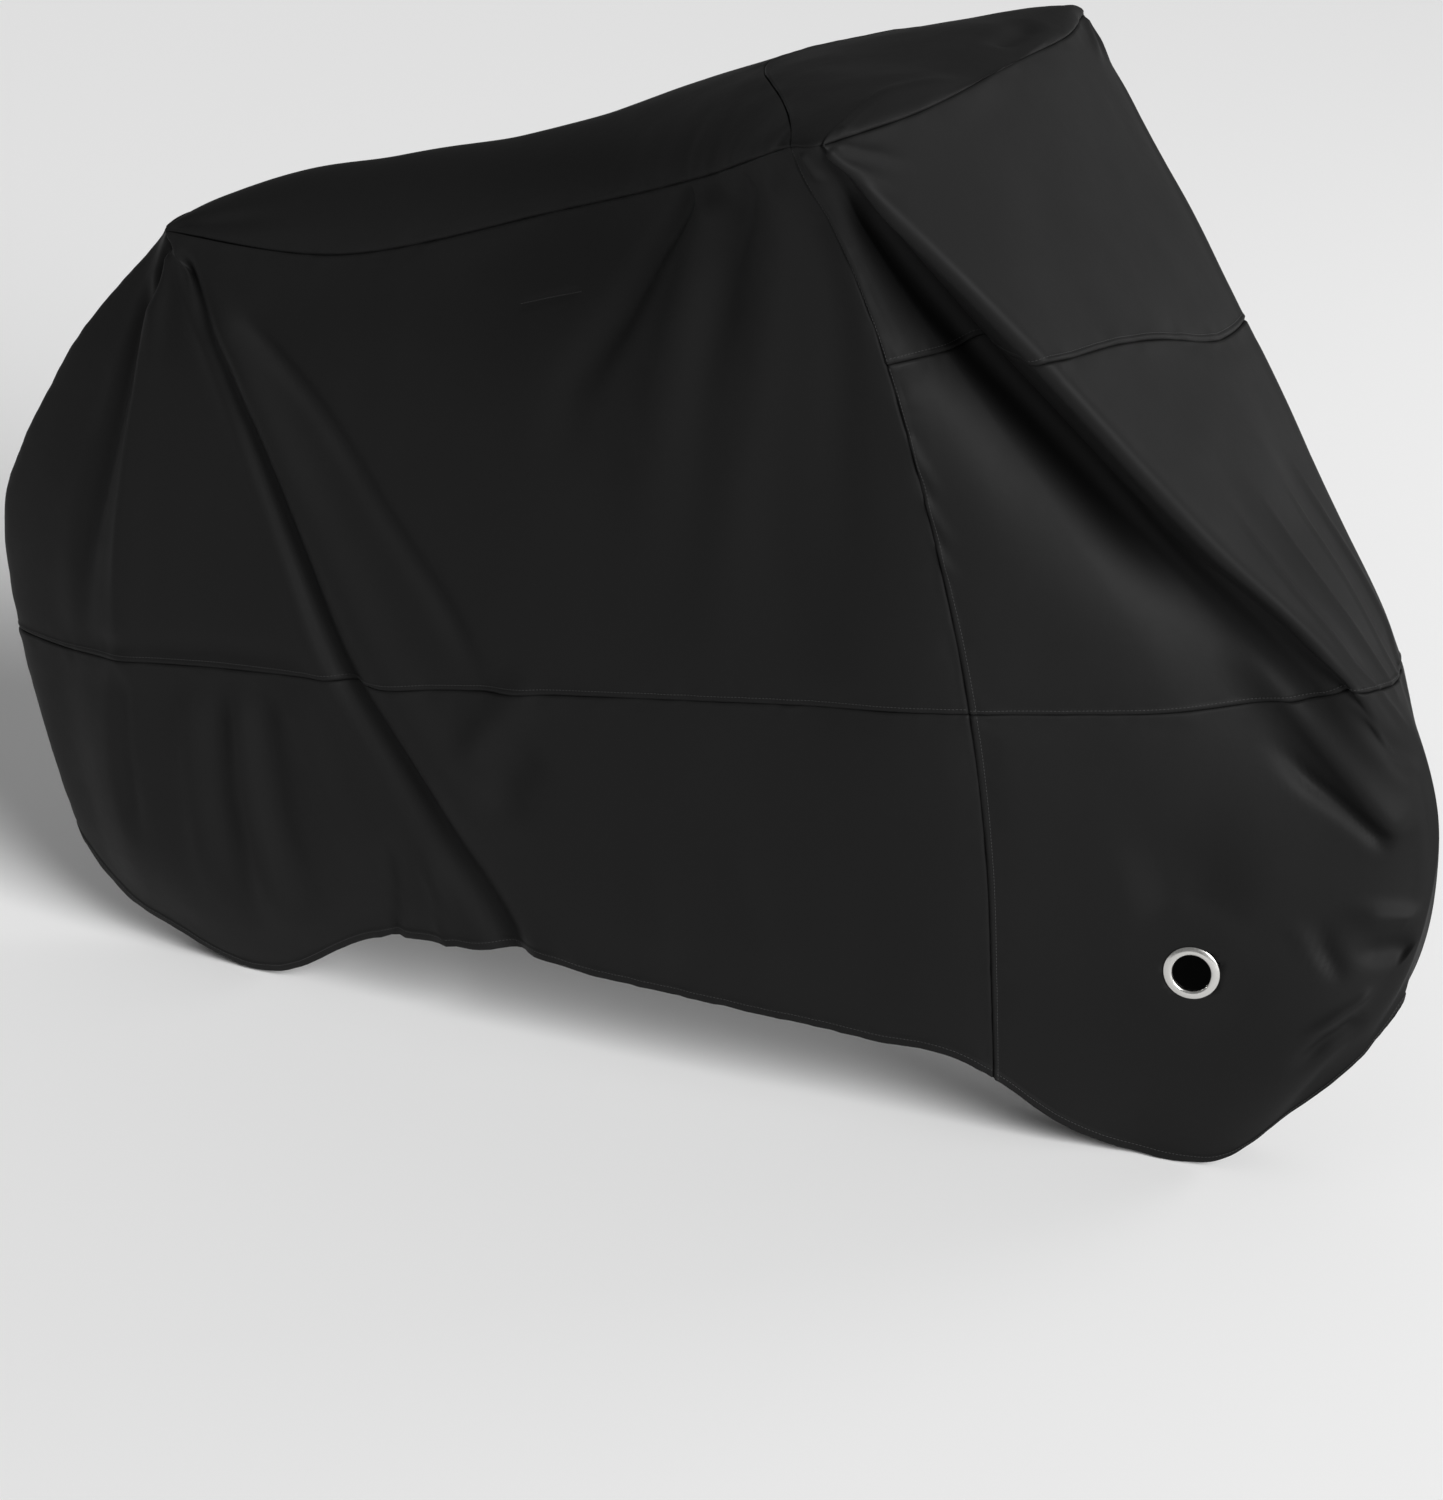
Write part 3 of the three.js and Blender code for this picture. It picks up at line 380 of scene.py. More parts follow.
def strip(line, across):
    """The top strip, from the right top seam, across -1, to the left one, across 1."""
    level = np.full(len(line), TOP)
    right, left = cloth(line, level), cloth(ROUND - line, level)
    point = lerp(right, left, ((across + 1) / 2)[:, None])
    rise = np.maximum(crest_height(point[:, 0]) - point[:, 2], 0)
    wide = smooth((-right[:, 1] - NARROW_STRIP) / (WIDE_STRIP - NARROW_STRIP))
    power = lerp(NARROW_POWER, WIDE_POWER, wide)
    point[:, 2] += rise * np.sqrt(np.maximum(1 - np.abs(across) ** power, 0))
    return point


def strip_normal(line, across):
    before, after = np.maximum(line - STEP, STEP), np.minimum(line + STEP, FRONT_LINE - STEP)
    along = strip(after, across) - strip(before, across)
    over = strip(line, np.minimum(across + STEP, 1)) - strip(line, np.maximum(across - STEP, -1))
    return unit(np.cross(along, over))


def top_seam_normal(place):
    """The slant that the strip and the panels share along the top seam."""
    line, left = side_of(place)
    top = np.full(len(place), TOP)
    along = cloth(place + STEP, top) - cloth(place - STEP, top)
    up = cloth(place, top) - cloth(place, top - STEP)
    return unit(unit(np.cross(along, up)) + strip_normal(line, np.where(left, 1.0, -1.0)))


# The front seam hangs lower towards the left, as the cloth sits a little skew
SEAM_RIGHT, SEAM_DROP, SEAM_MIDDLE, SEAM_SPREAD = 2, 0.19, 14.8, 1.2


def front_seam_level(place):
    return SEAM_RIGHT - SEAM_DROP * (0.5 + 0.5 * np.tanh((place - SEAM_MIDDLE) / SEAM_SPREAD))


# The cross seam swings back over the middle of the top strip
CROSS_SWING = 1.1


def cross_line(across):
    return CROSS_LINE - CROSS_SWING * (1 - across ** 2)


# Soft random shapes, the same on every run
NOISE_SEED, NOISE_CELLS = 7, 64
NOISE_START = 500  # cells from the table's corner to the frame's origin
NOISE_TABLE = np.random.default_rng(NOISE_SEED).random((NOISE_CELLS, NOISE_CELLS, NOISE_CELLS))


def noise(points, scale, shift=0.0):
    """Smooth random height from -1 to 1, with bumps about scale mm apart."""
    q = points / scale + shift + NOISE_START
    low = np.floor(q).astype(int)
    t = smooth(q - low)
    total = 0
    for corner in product((0, 1), repeat=3):
        weight = np.where(corner, t, 1 - t).prod(axis=1)
        total = total + weight * NOISE_TABLE[tuple(((low + corner) % NOISE_CELLS).T)]
    return total * 2 - 1


# Distances in mm from a panel's edge at which rows of points run. The stitching follows one of them.
EDGE_ROWS = np.array([0, 1.1, 2.4, 4, 5.6, 7.2, 9, 11.5, 15])
STITCH_ROW = 4
HEM_ROWS = np.array([0, 1.2, 2.6, 4.5, 6.5, 8.2, 9.6, 11, 12.4, 14, 16.5, 20])
HEM_STITCH_ROW = 6
LEAST_ROWS = 6


def shares(length, step, low_rows, high_rows):
    """Shares of the way across a panel of each length, fine beside the edges and even between them."""
    count = max(int(np.median(length) / step), LEAST_ROWS)
    inner = np.linspace(0, 1, count + 1)[1:-1]
    low = low_rows[None] / length[:, None]
    high = 1 - high_rows[::-1][None] / length[:, None]
    start, end = low[:, -1:], high[:, :1]
    return np.concatenate([low, start + (end - start) * inner[None], high], axis=1)


def grid(function, a, b):
    return function(a.ravel(), b.ravel()).reshape(*a.shape, 3)


def run_lengths(points):
    """How far each point is from the start of its row, along axis 1."""
    steps = np.linalg.norm(np.diff(points, axis=1), axis=2)
    return np.concatenate([np.zeros((len(points), 1)), np.cumsum(steps, axis=1)], axis=1)


Edge = namedtuple("Edge", "kind distance along")


def edge_measures(points, kinds):
    """For each edge of a panel's grid, how far every point is from it and how far along it."""
    up, along = run_lengths(points), run_lengths(points.transpose(1, 0, 2)).T
    return [
        Edge(kinds["low"], up, along),
        Edge(kinds["high"], up[:, -1:] - up, along),
        Edge(kinds["start"], along, up),
        Edge(kinds["end"], along[-1:] - along, up),
    ]


# Seams and hem in mm: the groove of a seam, the felled cloth beside it, the puckers, the line that
# the stitches press in, and the turned hem
GROOVE_DEPTH, GROOVE_WIDTH = 1.6, 1.5
FELL_HEIGHT, FELL_START, FELL_END, FELL_RISE, FELL_FALL = 1, 1.4, 8, 1.5, 2
PUCKER_HEIGHT, PUCKER_REACH, PUCKER_PITCH, PUCKER_START = 1.1, 20, 22, 3
STITCH_SINK, STITCH_SPREAD = 0.35, 1.1
HEM_HEIGHT, HEM_WIDTH, HEM_FALL = 1.1, 12, 1.8
COARSE_SHIFT, FINE_SHIFT, FINE_SHARE = 3.1, 7.7, 0.5


def seam_height(points, edges):
    """Height of the seams and the hem over the plain cloth."""
    flat = points.reshape(-1, 3)
    height = np.zeros(points.shape[:2])
    coarse = noise(flat, PUCKER_PITCH, COARSE_SHIFT).reshape(height.shape)
    fine = noise(flat, PUCKER_PITCH / 2, FINE_SHIFT).reshape(height.shape)
    ripple = coarse + FINE_SHARE * fine
    for edge in edges:
        d = edge.distance
        pucker = PUCKER_HEIGHT * ripple * hump(d, PUCKER_REACH)
        if edge.kind == "hem":
            height += HEM_HEIGHT * (1 - smooth((d - HEM_WIDTH) / HEM_FALL))
            height -= STITCH_SINK * hump(d - HEM_ROWS[HEM_STITCH_ROW], STITCH_SPREAD)
            height += pucker
            continue
        if edge.kind is None:
            continue
        height -= GROOVE_DEPTH * hump(d, GROOVE_WIDTH)
        height += pucker * smooth(d / PUCKER_START)
        if edge.kind == "fell":
            fall = smooth((d - FELL_END + FELL_FALL) / FELL_FALL)
            height += FELL_HEIGHT * smooth((d - FELL_START) / FELL_RISE) * (1 - fall)
            height -= STITCH_SINK * hump(d - EDGE_ROWS[STITCH_ROW], STITCH_SPREAD)
    return height


# Random unevenness of the cloth: size of the bumps and their height, in mm
Uneven = namedtuple("Uneven", "size height shift")
UNEVEN = [Uneven(210, 2.8, 0.3), Uneven(95, 1.7, 1.9), Uneven(42, 0.45, 4.2)]
UNEVEN_SQUASH = np.array([1, 1, 0.6])  # the bumps are longer up and down
UNEVEN_START = 40  # from a seam to where the cloth is as uneven as elsewhere
SLANT_REACH = 5  # over which two panels share their slant beside the top seam


def uneven_height(points, edges):
    flat = points.reshape(-1, 3) * UNEVEN_SQUASH
    height = sum(u.height * noise(flat, u.size, u.shift) for u in UNEVEN).reshape(points.shape[:2])
    sewn = [edge.distance for edge in edges if edge.kind is not None]
    return height * smooth(np.minimum.reduce(sewn) / UNEVEN_START) if sewn else height


def grid_normals(points):
    along, up = np.gradient(points, axis=0), np.gradient(points, axis=1)
    return unit(np.cross(along, up))


def finish_surface(points, kinds, seam_normals=None):
    """Adds seams and unevenness to a grid of the plain cloth."""
    edges = edge_measures(points, kinds)
    normals = grid_normals(points)
    if seam_normals is not None:
        near = hump(edges[1].distance, SLANT_REACH)[..., None]
        normals = unit(lerp(normals, seam_normals[:, None], near))
    return points + normals * (seam_height(points, edges) + uneven_height(points, edges))[..., None]


# Meshes
THICKNESS = 0.9  # mm, drawn thicker than the real cloth so that its edges show


def link(name, mesh):
    piece = bpy.data.objects.new(name, mesh)
    bpy.context.scene.collection.objects.link(piece)
    return piece


def mesh_from(name, points, faces):
    mesh = bpy.data.meshes.new(name)
    places = np.asarray(points).reshape(-1, 3) * MM
    mesh.from_pydata(places.tolist(), [], [list(map(int, face)) for face in faces])
    mesh.update()
    mesh.polygons.foreach_set("use_smooth", [True] * len(mesh.polygons))
    return link(name, mesh)


def grid_faces(rows, columns):
    i, j = np.meshgrid(np.arange(rows - 1), np.arange(columns - 1), indexing="ij")
    a = (i * columns + j).ravel()
    return np.stack([a, a + columns, a + columns + 1, a + 1], axis=1)


def cloth_piece(name, points, keep=None):
    faces = grid_faces(*points.shape[:2])
    if keep is not None:
        faces = faces[keep.ravel()[faces].all(axis=1)]
    piece = mesh_from(name, points, faces)
    thick = piece.modifiers.new("thickness", "SOLIDIFY")
    thick.thickness, thick.offset = THICKNESS * MM, -1
    return piece


# Stitching: short capsules of thread, laid end to end along a row of points
STITCH_START, STITCH_LENGTH, STITCH_GAP, THREAD_RADIUS = 2, 3.2, 1.2, 0.34
THREAD_SIDES = 6
Ring = namedtuple("Ring", "share size lift")  # along the stitch, of the thread's radius, over the cloth
STITCH_RINGS = [Ring(0, 0.45, -0.3), Ring(0.14, 1, 0.12), Ring(0.86, 1, 0.12), Ring(1, 0.45, -0.3)]


def circle(count):
    angle = np.arange(count) * 2 * math.pi / count
    return np.cos(angle), np.sin(angle)


def tube_faces(rings, sides, closed):
    """Faces between rings of points. A closed tube joins its last ring to its first."""
    faces = []
    for i in range(rings if closed else rings - 1):
        for k in range(sides):
            here, there, side = i * sides, (i + 1) % rings * sides, (k + 1) % sides
            faces.append((here + k, here + side, there + side, there + k))
    return np.array(faces)


def stitches(path, normals):
    """Points and faces of a row of stitches along a path."""
    lengths = np.concatenate([[0], np.cumsum(np.linalg.norm(np.diff(path, axis=0), axis=1))])
    starts = np.arange(STITCH_START, lengths[-1] - STITCH_LENGTH, STITCH_LENGTH + STITCH_GAP)

    def sample(values, at):
        return np.stack([np.interp(at, lengths, values[:, k]) for k in range(3)], axis=1)

    a, b = sample(path, starts), sample(path, starts + STITCH_LENGTH)
    up = unit(sample(normals, starts + STITCH_LENGTH / 2))
    ahead = unit(b - a)
    across = unit(np.cross(up, ahead))
    cosine, sine = circle(THREAD_SIDES)
    around = cosine[None, :, None] * across[:, None] + sine[None, :, None] * up[:, None]
    rows = []
    for ring in STITCH_RINGS:
        middle = lerp(a, b, ring.share)[:, None] + up[:, None] * ring.lift
        rows.append(middle + around * ring.size * THREAD_RADIUS)
    points = np.concatenate(rows, axis=1)
    faces = tube_faces(len(STITCH_RINGS), THREAD_SIDES, closed=False)
    shift = (np.arange(len(starts)) * len(STITCH_RINGS) * THREAD_SIDES)[:, None, None]
    return points.reshape(-1, 3), (faces[None] + shift).reshape(-1, 4)


def stitching_piece(name, rows):
    points, faces, count = [], [], 0
    for path, normals in rows:
        p, f = stitches(path, normals)
        points.append(p)
        faces.append(f + count)
        count += len(p)
    return mesh_from(name, np.concatenate(points), np.concatenate(faces))


# Materials
WAVE_PERIOD = 0.314  # metres between the bands of a wave texture whose scale is 1
YARN_PITCH = 0.00055
TWIST_PITCH = 0.0006
PEEL_BUMPS, CLOUDS, MARKS = 80.0, 6.5, 400.0  # of each noise in a metre
NOISE_SPAN = {"From Min": 0.3, "From Max": 0.7}


def srgb(code):
    def channel(k):
        value = int(code[k:k + 2], 16) / 255
        return value / 12.92 if value <= 0.04045 else ((value + 0.055) / 1.055) ** 2.4

    return (channel(1), channel(3), channel(5), 1)


def add_node(tree, kind, inputs=None, **settings):
    node = tree.nodes.new(kind)
    for key, value in settings.items():
        setattr(node, key, value)
    for key, value in (inputs or {}).items():
        if isinstance(value, bpy.types.NodeSocket):
            tree.links.new(value, node.inputs[key])
        else:
            node.inputs[key].default_value = value
    return node


def new_material(name):
    material = bpy.data.materials.new(name)
    material.use_nodes = True
    tree = material.node_tree
    tree.nodes.clear()
    shader = add_node(tree, "ShaderNodeBsdfPrincipled")
    output = add_node(tree, "ShaderNodeOutputMaterial")
    tree.links.new(shader.outputs[0], output.inputs[0])
    return material, tree, shader


def coated_polyester():
    """Black polyester cloth, plain weave, with a satin waterproof coating."""
    material, tree, shader = new_material("coated_polyester")
    place = add_node(tree, "ShaderNodeTexCoord").outputs["Object"]
    # Yarns of the plain weave, 0.55 mm apart both ways
    yarns = []
    for direction in ("X", "Z"):
        scale = {"Vector": place, "Scale": WAVE_PERIOD / YARN_PITCH, "Distortion": 0.4}
        wave = add_node(tree, "ShaderNodeTexWave", scale, wave_type="BANDS", bands_direction=direction)
        yarns.append(wave.outputs["Fac"])
    weave = add_node(tree, "ShaderNodeMath", {0: yarns[0], 1: yarns[1]}, operation="MULTIPLY").outputs[0]
    # The coating's soft unevenness, about 12 mm across
    peel = add_node(tree, "ShaderNodeTexNoise", {
        "Vector": place, "Scale": PEEL_BUMPS, "Detail": 3.0, "Roughness": 0.55,
    })
    # Cloudy patches where the coating is duller, about 150 mm across
    cloud = add_node(tree, "ShaderNodeTexNoise", {
        "Vector": place, "Scale": CLOUDS, "Detail": 4.0, "Roughness": 0.6,
    })
    rough = add_node(tree, "ShaderNodeMapRange", {
        "Value": cloud.outputs["Fac"], **NOISE_SPAN, "To Min": 0.55, "To Max": 0.66,
    })
    tone = add_node(tree, "ShaderNodeMix", {
        "Factor": cloud.outputs["Fac"], "A": srgb("#121212"), "B": srgb("#161616"),
    }, data_type="RGBA")
    tree.links.new(rough.outputs[0], shader.inputs["Roughness"])
    tree.links.new(tone.outputs["Result"], shader.inputs["Base Color"])
    shader.inputs["Specular IOR Level"].default_value = 0.1
    weave_bump = add_node(tree, "ShaderNodeBump", {"Height": weave, "Strength": 0.25, "Distance": 0.00006})
    peel_bump = add_node(tree, "ShaderNodeBump", {
        "Height": peel.outputs["Fac"], "Strength": 0.35, "Distance": 0.0006, "Normal": weave_bump.outputs[0],
    })
    tree.links.new(peel_bump.outputs[0], shader.inputs["Normal"])
    return material


def polyester_thread():
    """Black spun polyester sewing thread, matt, with the twist of its plies."""
    material, tree, shader = new_material("polyester_thread")
    place = add_node(tree, "ShaderNodeTexCoord").outputs["Object"]
    twist = add_node(tree, "ShaderNodeTexWave", {
        "Vector": place, "Scale": WAVE_PERIOD / TWIST_PITCH, "Distortion": 1.0,
    }, wave_type="BANDS", bands_direction="DIAGONAL")
    tone = add_node(tree, "ShaderNodeMix", {
        "Factor": twist.outputs["Fac"], "A": srgb("#1e1e1e"), "B": srgb("#2c2c2c"),
    }, data_type="RGBA")
    tree.links.new(tone.outputs["Result"], shader.inputs["Base Color"])
    shader.inputs["Roughness"].default_value = 0.7
    bump = add_node(tree, "ShaderNodeBump", {
        "Height": twist.outputs["Fac"], "Strength": 0.4, "Distance": 0.0001,
    })
    tree.links.new(bump.outputs[0], shader.inputs["Normal"])
    return material


def nickel_plate():
    """Bright nickel plating on a pressed metal eyelet, with faint handling marks."""
    material, tree, shader = new_material("nickel_plate")
    place = add_node(tree, "ShaderNodeTexCoord").outputs["Object"]
    marks = add_node(tree, "ShaderNodeTexNoise", {
        "Vector": place, "Scale": MARKS, "Detail": 5.0, "Roughness": 0.65,
    })
    rough = add_node(tree, "ShaderNodeMapRange", {
        "Value": marks.outputs["Fac"], **NOISE_SPAN, "To Min": 0.16, "To Max": 0.3,
    })
    shader.inputs["Base Color"].default_value = srgb("#d6d5d2")
    shader.inputs["Metallic"].default_value = 1
    tree.links.new(rough.outputs[0], shader.inputs["Roughness"])
    bump = add_node(tree, "ShaderNodeBump", {
        "Height": marks.outputs["Fac"], "Strength": 0.15, "Distance": 0.0002,
    })
    tree.links.new(bump.outputs[0], shader.inputs["Normal"])
    return material


CLOTH, THREAD, NICKEL = coated_polyester(), polyester_thread(), nickel_plate()


def dress(piece, material, slot, *nodes):
    piece.data.materials.append(material)
    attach(piece, "root")
    if nodes:
        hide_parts(*nodes)


# Panels
FINE, MEDIUM, COARSE = 4.8, 5.6, 8.5  # mm between points
MEASURE_STEPS = 24  # points from low to high at which a panel's length is measured


def places_between(start, end, step):
    """Places from start to end, even in mm round the cover and fine beside both ends."""
    knots = np.concatenate([LINE_MM, 2 * LINE_MM[-1] - LINE_MM[-2::-1]])
    at = np.interp([start, end], np.arange(ROUND + 1), knots)
    length = at[1] - at[0]
    share = shares(np.array([length]), step, EDGE_ROWS, EDGE_ROWS)[0]
    return np.interp(at[0] + share * length, knots, np.arange(ROUND + 1))


def panel_grid(places, low, high, step, low_rows, high_rows):
    """Grid of places and levels between two sewing lines, given as functions of the place."""
    coarse = np.linspace(0, 1, MEASURE_STEPS)[None]
    low_level, high_level = low(places)[:, None], high(places)[:, None]
    rough = grid(cloth, np.repeat(places[:, None], MEASURE_STEPS, 1), lerp(low_level, high_level, coarse))
    length = run_lengths(rough)[:, -1]
    share = shares(length, step, low_rows, high_rows)
    return np.repeat(places[:, None], share.shape[1], 1), lerp(low_level, high_level, share)


def level(value):
    return lambda places: np.full(len(places), float(value))


HEM_LINE, BELT_LINE, TOP_LINE = level(0), level(BELT), level(TOP)
finished, laid = {}, {}


def make_panel(name, places, low, high, step, kinds, low_rows=EDGE_ROWS, cut=False):
    place, up = panel_grid(places, low, high, step, low_rows, EDGE_ROWS)
    points = grid(cloth, place, up)
    seam_normals = top_seam_normal(places) if high is TOP_LINE else None
    points = finish_surface(points, kinds, seam_normals)
    keep = None
    if cut:
        centres = [EYELET_CENTRE, EYELET_CENTRE * MIRROR]
        distances = [np.linalg.norm(points - centre, axis=2) for centre in centres]
        keep = np.min(distances, axis=0) > CLOTH_HOLE
    piece = cloth_piece(name, points, keep)
    finished[name], laid[name] = points, (place, up)
    return piece


def side_panels(side, start, end, step):
    places = places_between(start, end, step)
    front, rear = ("end", "start") if side == "right" else ("start", "end")
    kinds = {"high": "seam", front: "seam", rear: "seam"}
    lower = make_panel(f"cloth_side_{side}_lower", places, HEM_LINE, BELT_LINE, step,
                       {**kinds, "low": "hem"}, HEM_ROWS)
    upper = make_panel(f"cloth_side_{side}_upper", places, BELT_LINE, TOP_LINE, step,
                       {**kinds, "low": "fell"})
    dress(lower, CLOTH, "cover_cloth", f"panel_side_{side}_lower")
    dress(upper, CLOTH, "cover_cloth", f"panel_side_{side}_upper")


def front_panels():
    places = places_between(CROSS_LINE, ROUND - CROSS_LINE, FINE)
    kinds = {"low": "fell", "high": "seam", "start": "fell", "end": "fell"}
    lower = make_panel("cloth_front_lower", places, HEM_LINE, BELT_LINE, FINE,
                       {**kinds, "low": "hem"}, HEM_ROWS, cut=True)
    middle = make_panel("cloth_front_middle", places, BELT_LINE, front_seam_level, FINE, kinds)
    upper = make_panel("cloth_front_upper", places, front_seam_level, TOP_LINE, FINE, kinds)
    dress(lower, CLOTH, "cover_cloth", "panel_front_lower", "eyelet_patch_right", "eyelet_patch_left")
    dress(middle, CLOTH, "cover_cloth", "panel_front_middle")
    dress(upper, CLOTH, "cover_cloth", "panel_front_upper")


STRIP_COLUMNS = 81
TIP_GAP = 0.02  # of a line, kept free at the strip's front tip


def strip_fold_height(points):
    """Folds of the top strip, laid out in plan."""
    tracks = [(fold, np.array([(*place, 0) for place in fold.path], float)) for fold in STRIP_FOLDS]
    flat = points.reshape(-1, 3) * np.array([1, 1, 0])
    return fold_height(flat, tracks).reshape(points.shape[:2])


def strip_panel(name, node, edge_places, line_for, kinds, tip_row, tip_place):
    """A piece of the top strip. Its pointed end lies along the panels' edge across the centre line."""
    turn = np.linspace(0, math.pi, STRIP_COLUMNS)
    across = -np.cos(turn)
    place, over = np.meshgrid(edge_places, across, indexing="ij")
    line = line_for(place, over)
    points = grid(strip, line, over)
    corner = edge_places[tip_row]
    ends = cloth(np.array([corner, ROUND - corner, tip_place]), np.full(3, TOP))
    share = (1 - np.abs(across))[:, None]
    points[tip_row] = lerp(np.where(across[:, None] < 0, ends[0], ends[1]), ends[2], share)
    edges = edge_measures(points, kinds)
    normals = grid_normals(points)
    for column, places in ((0, line[:, 0]), (-1, ROUND - line[:, -1])):
        seam = top_seam_normal(places)
        distance = edges[0].distance if column == 0 else edges[1].distance
        near = hump(distance, SLANT_REACH)[..., None]
        normals = unit(lerp(normals, seam[:, None], near))
    height = seam_height(points, edges) + uneven_height(points, edges) + strip_fold_height(points)
    points = points + normals * height[..., None]
    piece = cloth_piece(name, points)
    finished[name] = points
    dress(piece, CLOTH, "cover_cloth", node)


def top_strip():
    def rear_line(place, across):
        return place * cross_line(across) / CROSS_LINE

    def front_line(place, across):
        share = (FRONT_LINE - place) / (FRONT_LINE - CROSS_LINE)
        return FRONT_LINE - share * (FRONT_LINE - cross_line(across))

    rear = places_between(0, CROSS_LINE, MEDIUM)[1:]
    front = places_between(CROSS_LINE, ROUND - CROSS_LINE, FINE)
    front = front[front < FRONT_LINE - TIP_GAP]
    sides = {"low": "seam", "high": "seam"}
    rear_kinds = {**sides, "start": None, "end": "seam"}
    front_kinds = {**sides, "start": "fell", "end": None}
    strip_panel("cloth_top_rear", "panel_top_rear", rear, rear_line, rear_kinds, 0, 0)
    strip_panel("cloth_top_front", "panel_top_front", front, front_line, front_kinds, -1, FRONT_LINE)


side_panels("right", 0, CROSS_LINE, MEDIUM)
side_panels("left", ROUND - CROSS_LINE, ROUND, COARSE)
front_panels()
top_strip()


# Stitching along the seams and the hem
def edge_row(name, edge, row):
    points = finished[name]
    normals = grid_normals(points)
    pick = {"low": np.s_[:, row], "start": np.s_[row], "end": np.s_[-1 - row]}[edge]
    return points[pick], normals[pick]


SHORT_SEAM = (6.75, 7.12, 2.53)  # its first and last line, and its level


def short_seam_row(name):
    """The row of stitches across the flank that joins nothing."""
    place, up = laid[name]
    points, normals = finished[name], grid_normals(finished[name])
    first, last, height = SHORT_SEAM
    columns = [i for i in range(len(place)) if first < place[i, 0] < last]

    def at_height(values):
        return np.array([[np.interp(height, up[i], values[i, :, k]) for k in range(3)] for i in columns])

    return at_height(points), at_height(normals)


def add_stitching():
    seams = [
        ("belt_right", "cloth_side_right_upper", "low"),
        ("belt_left", "cloth_side_left_upper", "low"),
        ("belt_front", "cloth_front_middle", "low"),
        ("front_seam", "cloth_front_upper", "low"),
    ]
    for side, edge in (("right", "start"), ("left", "end")):
        for panel in ("lower", "middle", "upper"):
            seams.append((f"cross_{side}_{panel}", f"cloth_front_{panel}", edge))
    hems = ["cloth_side_right_lower", "cloth_side_left_lower", "cloth_front_lower"]
    rows = [edge_row(panel, edge, STITCH_ROW) for _, panel, edge in seams]
    rows += [edge_row(panel, "low", HEM_STITCH_ROW) for panel in hems]
    rows.append(short_seam_row("cloth_side_right_upper"))
    piece = stitching_piece("stitching", rows)
    dress(piece, THREAD, "cover_cloth")


add_stitching()


# Eyelets: two pressed halves, rolled over each other round the hole
EYELET_OUTLINE = [  # radius and height over the cloth, in mm
    (23.2, 0.2), (31.2, 0.2), (31.8, 0.35), (32.0, 0.8), (31.7, 1.3), (31.0, 1.7), (29.8, 2.3),
    (28.3, 2.9), (26.8, 3.3), (25.3, 3.4), (24.0, 3.1), (23.0, 2.5), (22.3, 1.7), (22.05, 0.9),
    (22, 0), (22, -1.6), (22.1, -2.4), (22.5, -3.0), (23.3, -3.4), (24.4, -3.5), (25.6, -3.3),
    (26.4, -2.9), (27.0, -2.5), (29.0, -2.6), (30.6, -2.3), (31.2, -1.8), (31.2, -1.4), (30.8, -1.2),
    (23.2, -1.2),
]
EYELET_STEPS = 96


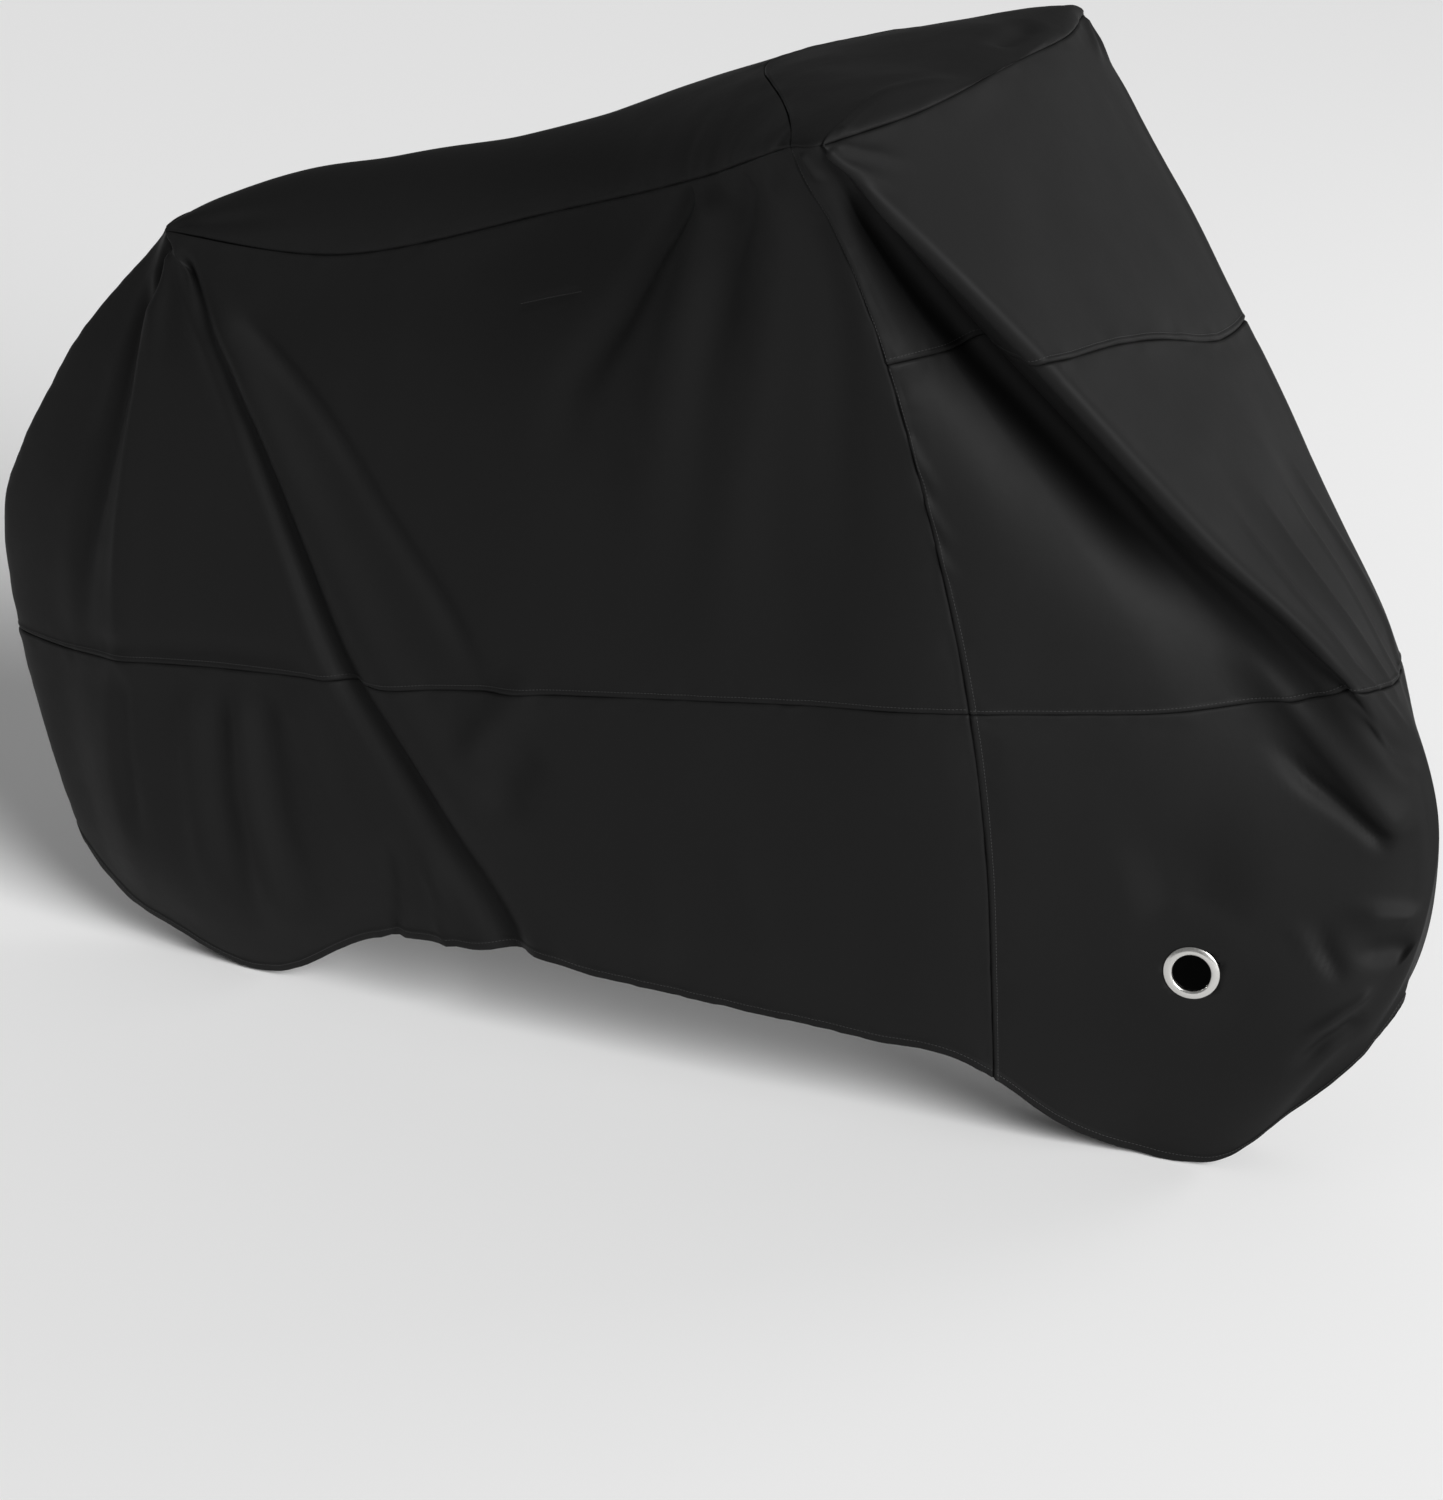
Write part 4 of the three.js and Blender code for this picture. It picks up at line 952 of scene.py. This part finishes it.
def eyelet(side):
    flip = MIRROR if side == "left" else np.ones(3)
    centre, normal = EYELET_CENTRE * flip, EYELET_NORMAL * flip
    first = unit(np.cross(normal, [0, 0, 1]))
    second = np.cross(normal, first)
    cosine, sine = circle(EYELET_STEPS)
    around = cosine[:, None] * first + sine[:, None] * second
    outline = np.array(EYELET_OUTLINE)
    points = centre + around[:, None] * outline[None, :, :1] + normal * outline[None, :, 1:]
    faces = tube_faces(EYELET_STEPS, len(outline), closed=True)
    piece = mesh_from(f"metal_eyelet_{side}", points, faces)
    dress(piece, NICKEL, "eyelet_metal", f"eyelet_ring_{side}")


eyelet("right")
eyelet("left")

# Record of a sheet and the size it was cut to, in metres: widest width, longest length and the cut's own
# area.
# A cut's size takes 10 mm more at each seam and 20 mm at the hem; no sheet is filled in here.
Cut = namedtuple("Cut", "piece width length area rests_on")

# Stage and light
FLOOR_SIZE = 60  # metres


def add_stage():
    corners = np.array([(-1, -1, 0), (1, -1, 0), (1, 1, 0), (-1, 1, 0)]) * FLOOR_SIZE / 2 / MM
    floor = mesh_from("floor", corners, [(0, 1, 2, 3)])
    material, tree, shader = new_material("pale_floor")
    shader.inputs["Base Color"].default_value = srgb("#f4f4f4")
    shader.inputs["Roughness"].default_value = 0.9
    floor.data.materials.append(material)


def area_light(name, place, target, size, power):
    """A soft panel of width and height size, in metres, turned to its target, of power in watts."""
    data = bpy.data.lights.new(name, "AREA")
    data.shape, data.size, data.size_y, data.energy = "RECTANGLE", *size, power
    light = bpy.data.objects.new(name, data)
    light.location = place
    light.rotation_euler = (Vector(target) - Vector(place)).to_track_quat("-Z", "Y").to_euler()
    bpy.context.scene.collection.objects.link(light)


def add_world():
    world = bpy.data.worlds.new("studio")
    bpy.context.scene.world = world
    world.use_nodes = True
    background = world.node_tree.nodes["Background"]
    background.inputs["Color"].default_value = srgb("#ffffff")
    background.inputs["Strength"].default_value = 0.22


def soft_sun(name, way, angle, strength):
    """A very wide far light. Way points from the cover to the light, and angle is its width in degrees."""
    data = bpy.data.lights.new(name, "SUN")
    data.angle, data.energy = math.radians(angle), strength
    light = bpy.data.objects.new(name, data)
    light.rotation_euler = Vector(way).to_track_quat("Z", "Y").to_euler()
    bpy.context.scene.collection.objects.link(light)


add_stage()
add_world()
soft_sun("key", (0.76, -0.48, 0.42), 28, 4.4)
area_light("front_far", (3.8, 4.0, 1.8), (0.3, 0, 0.7), (2.5, 2.0), 58)
area_light("front_low", (4.6, -1.0, 1.4), (0.5, 0, 0.5), (2.0, 1.6), 36)
bpy.context.scene.view_settings.view_transform = "Standard"

bpy.context.view_layer.update()
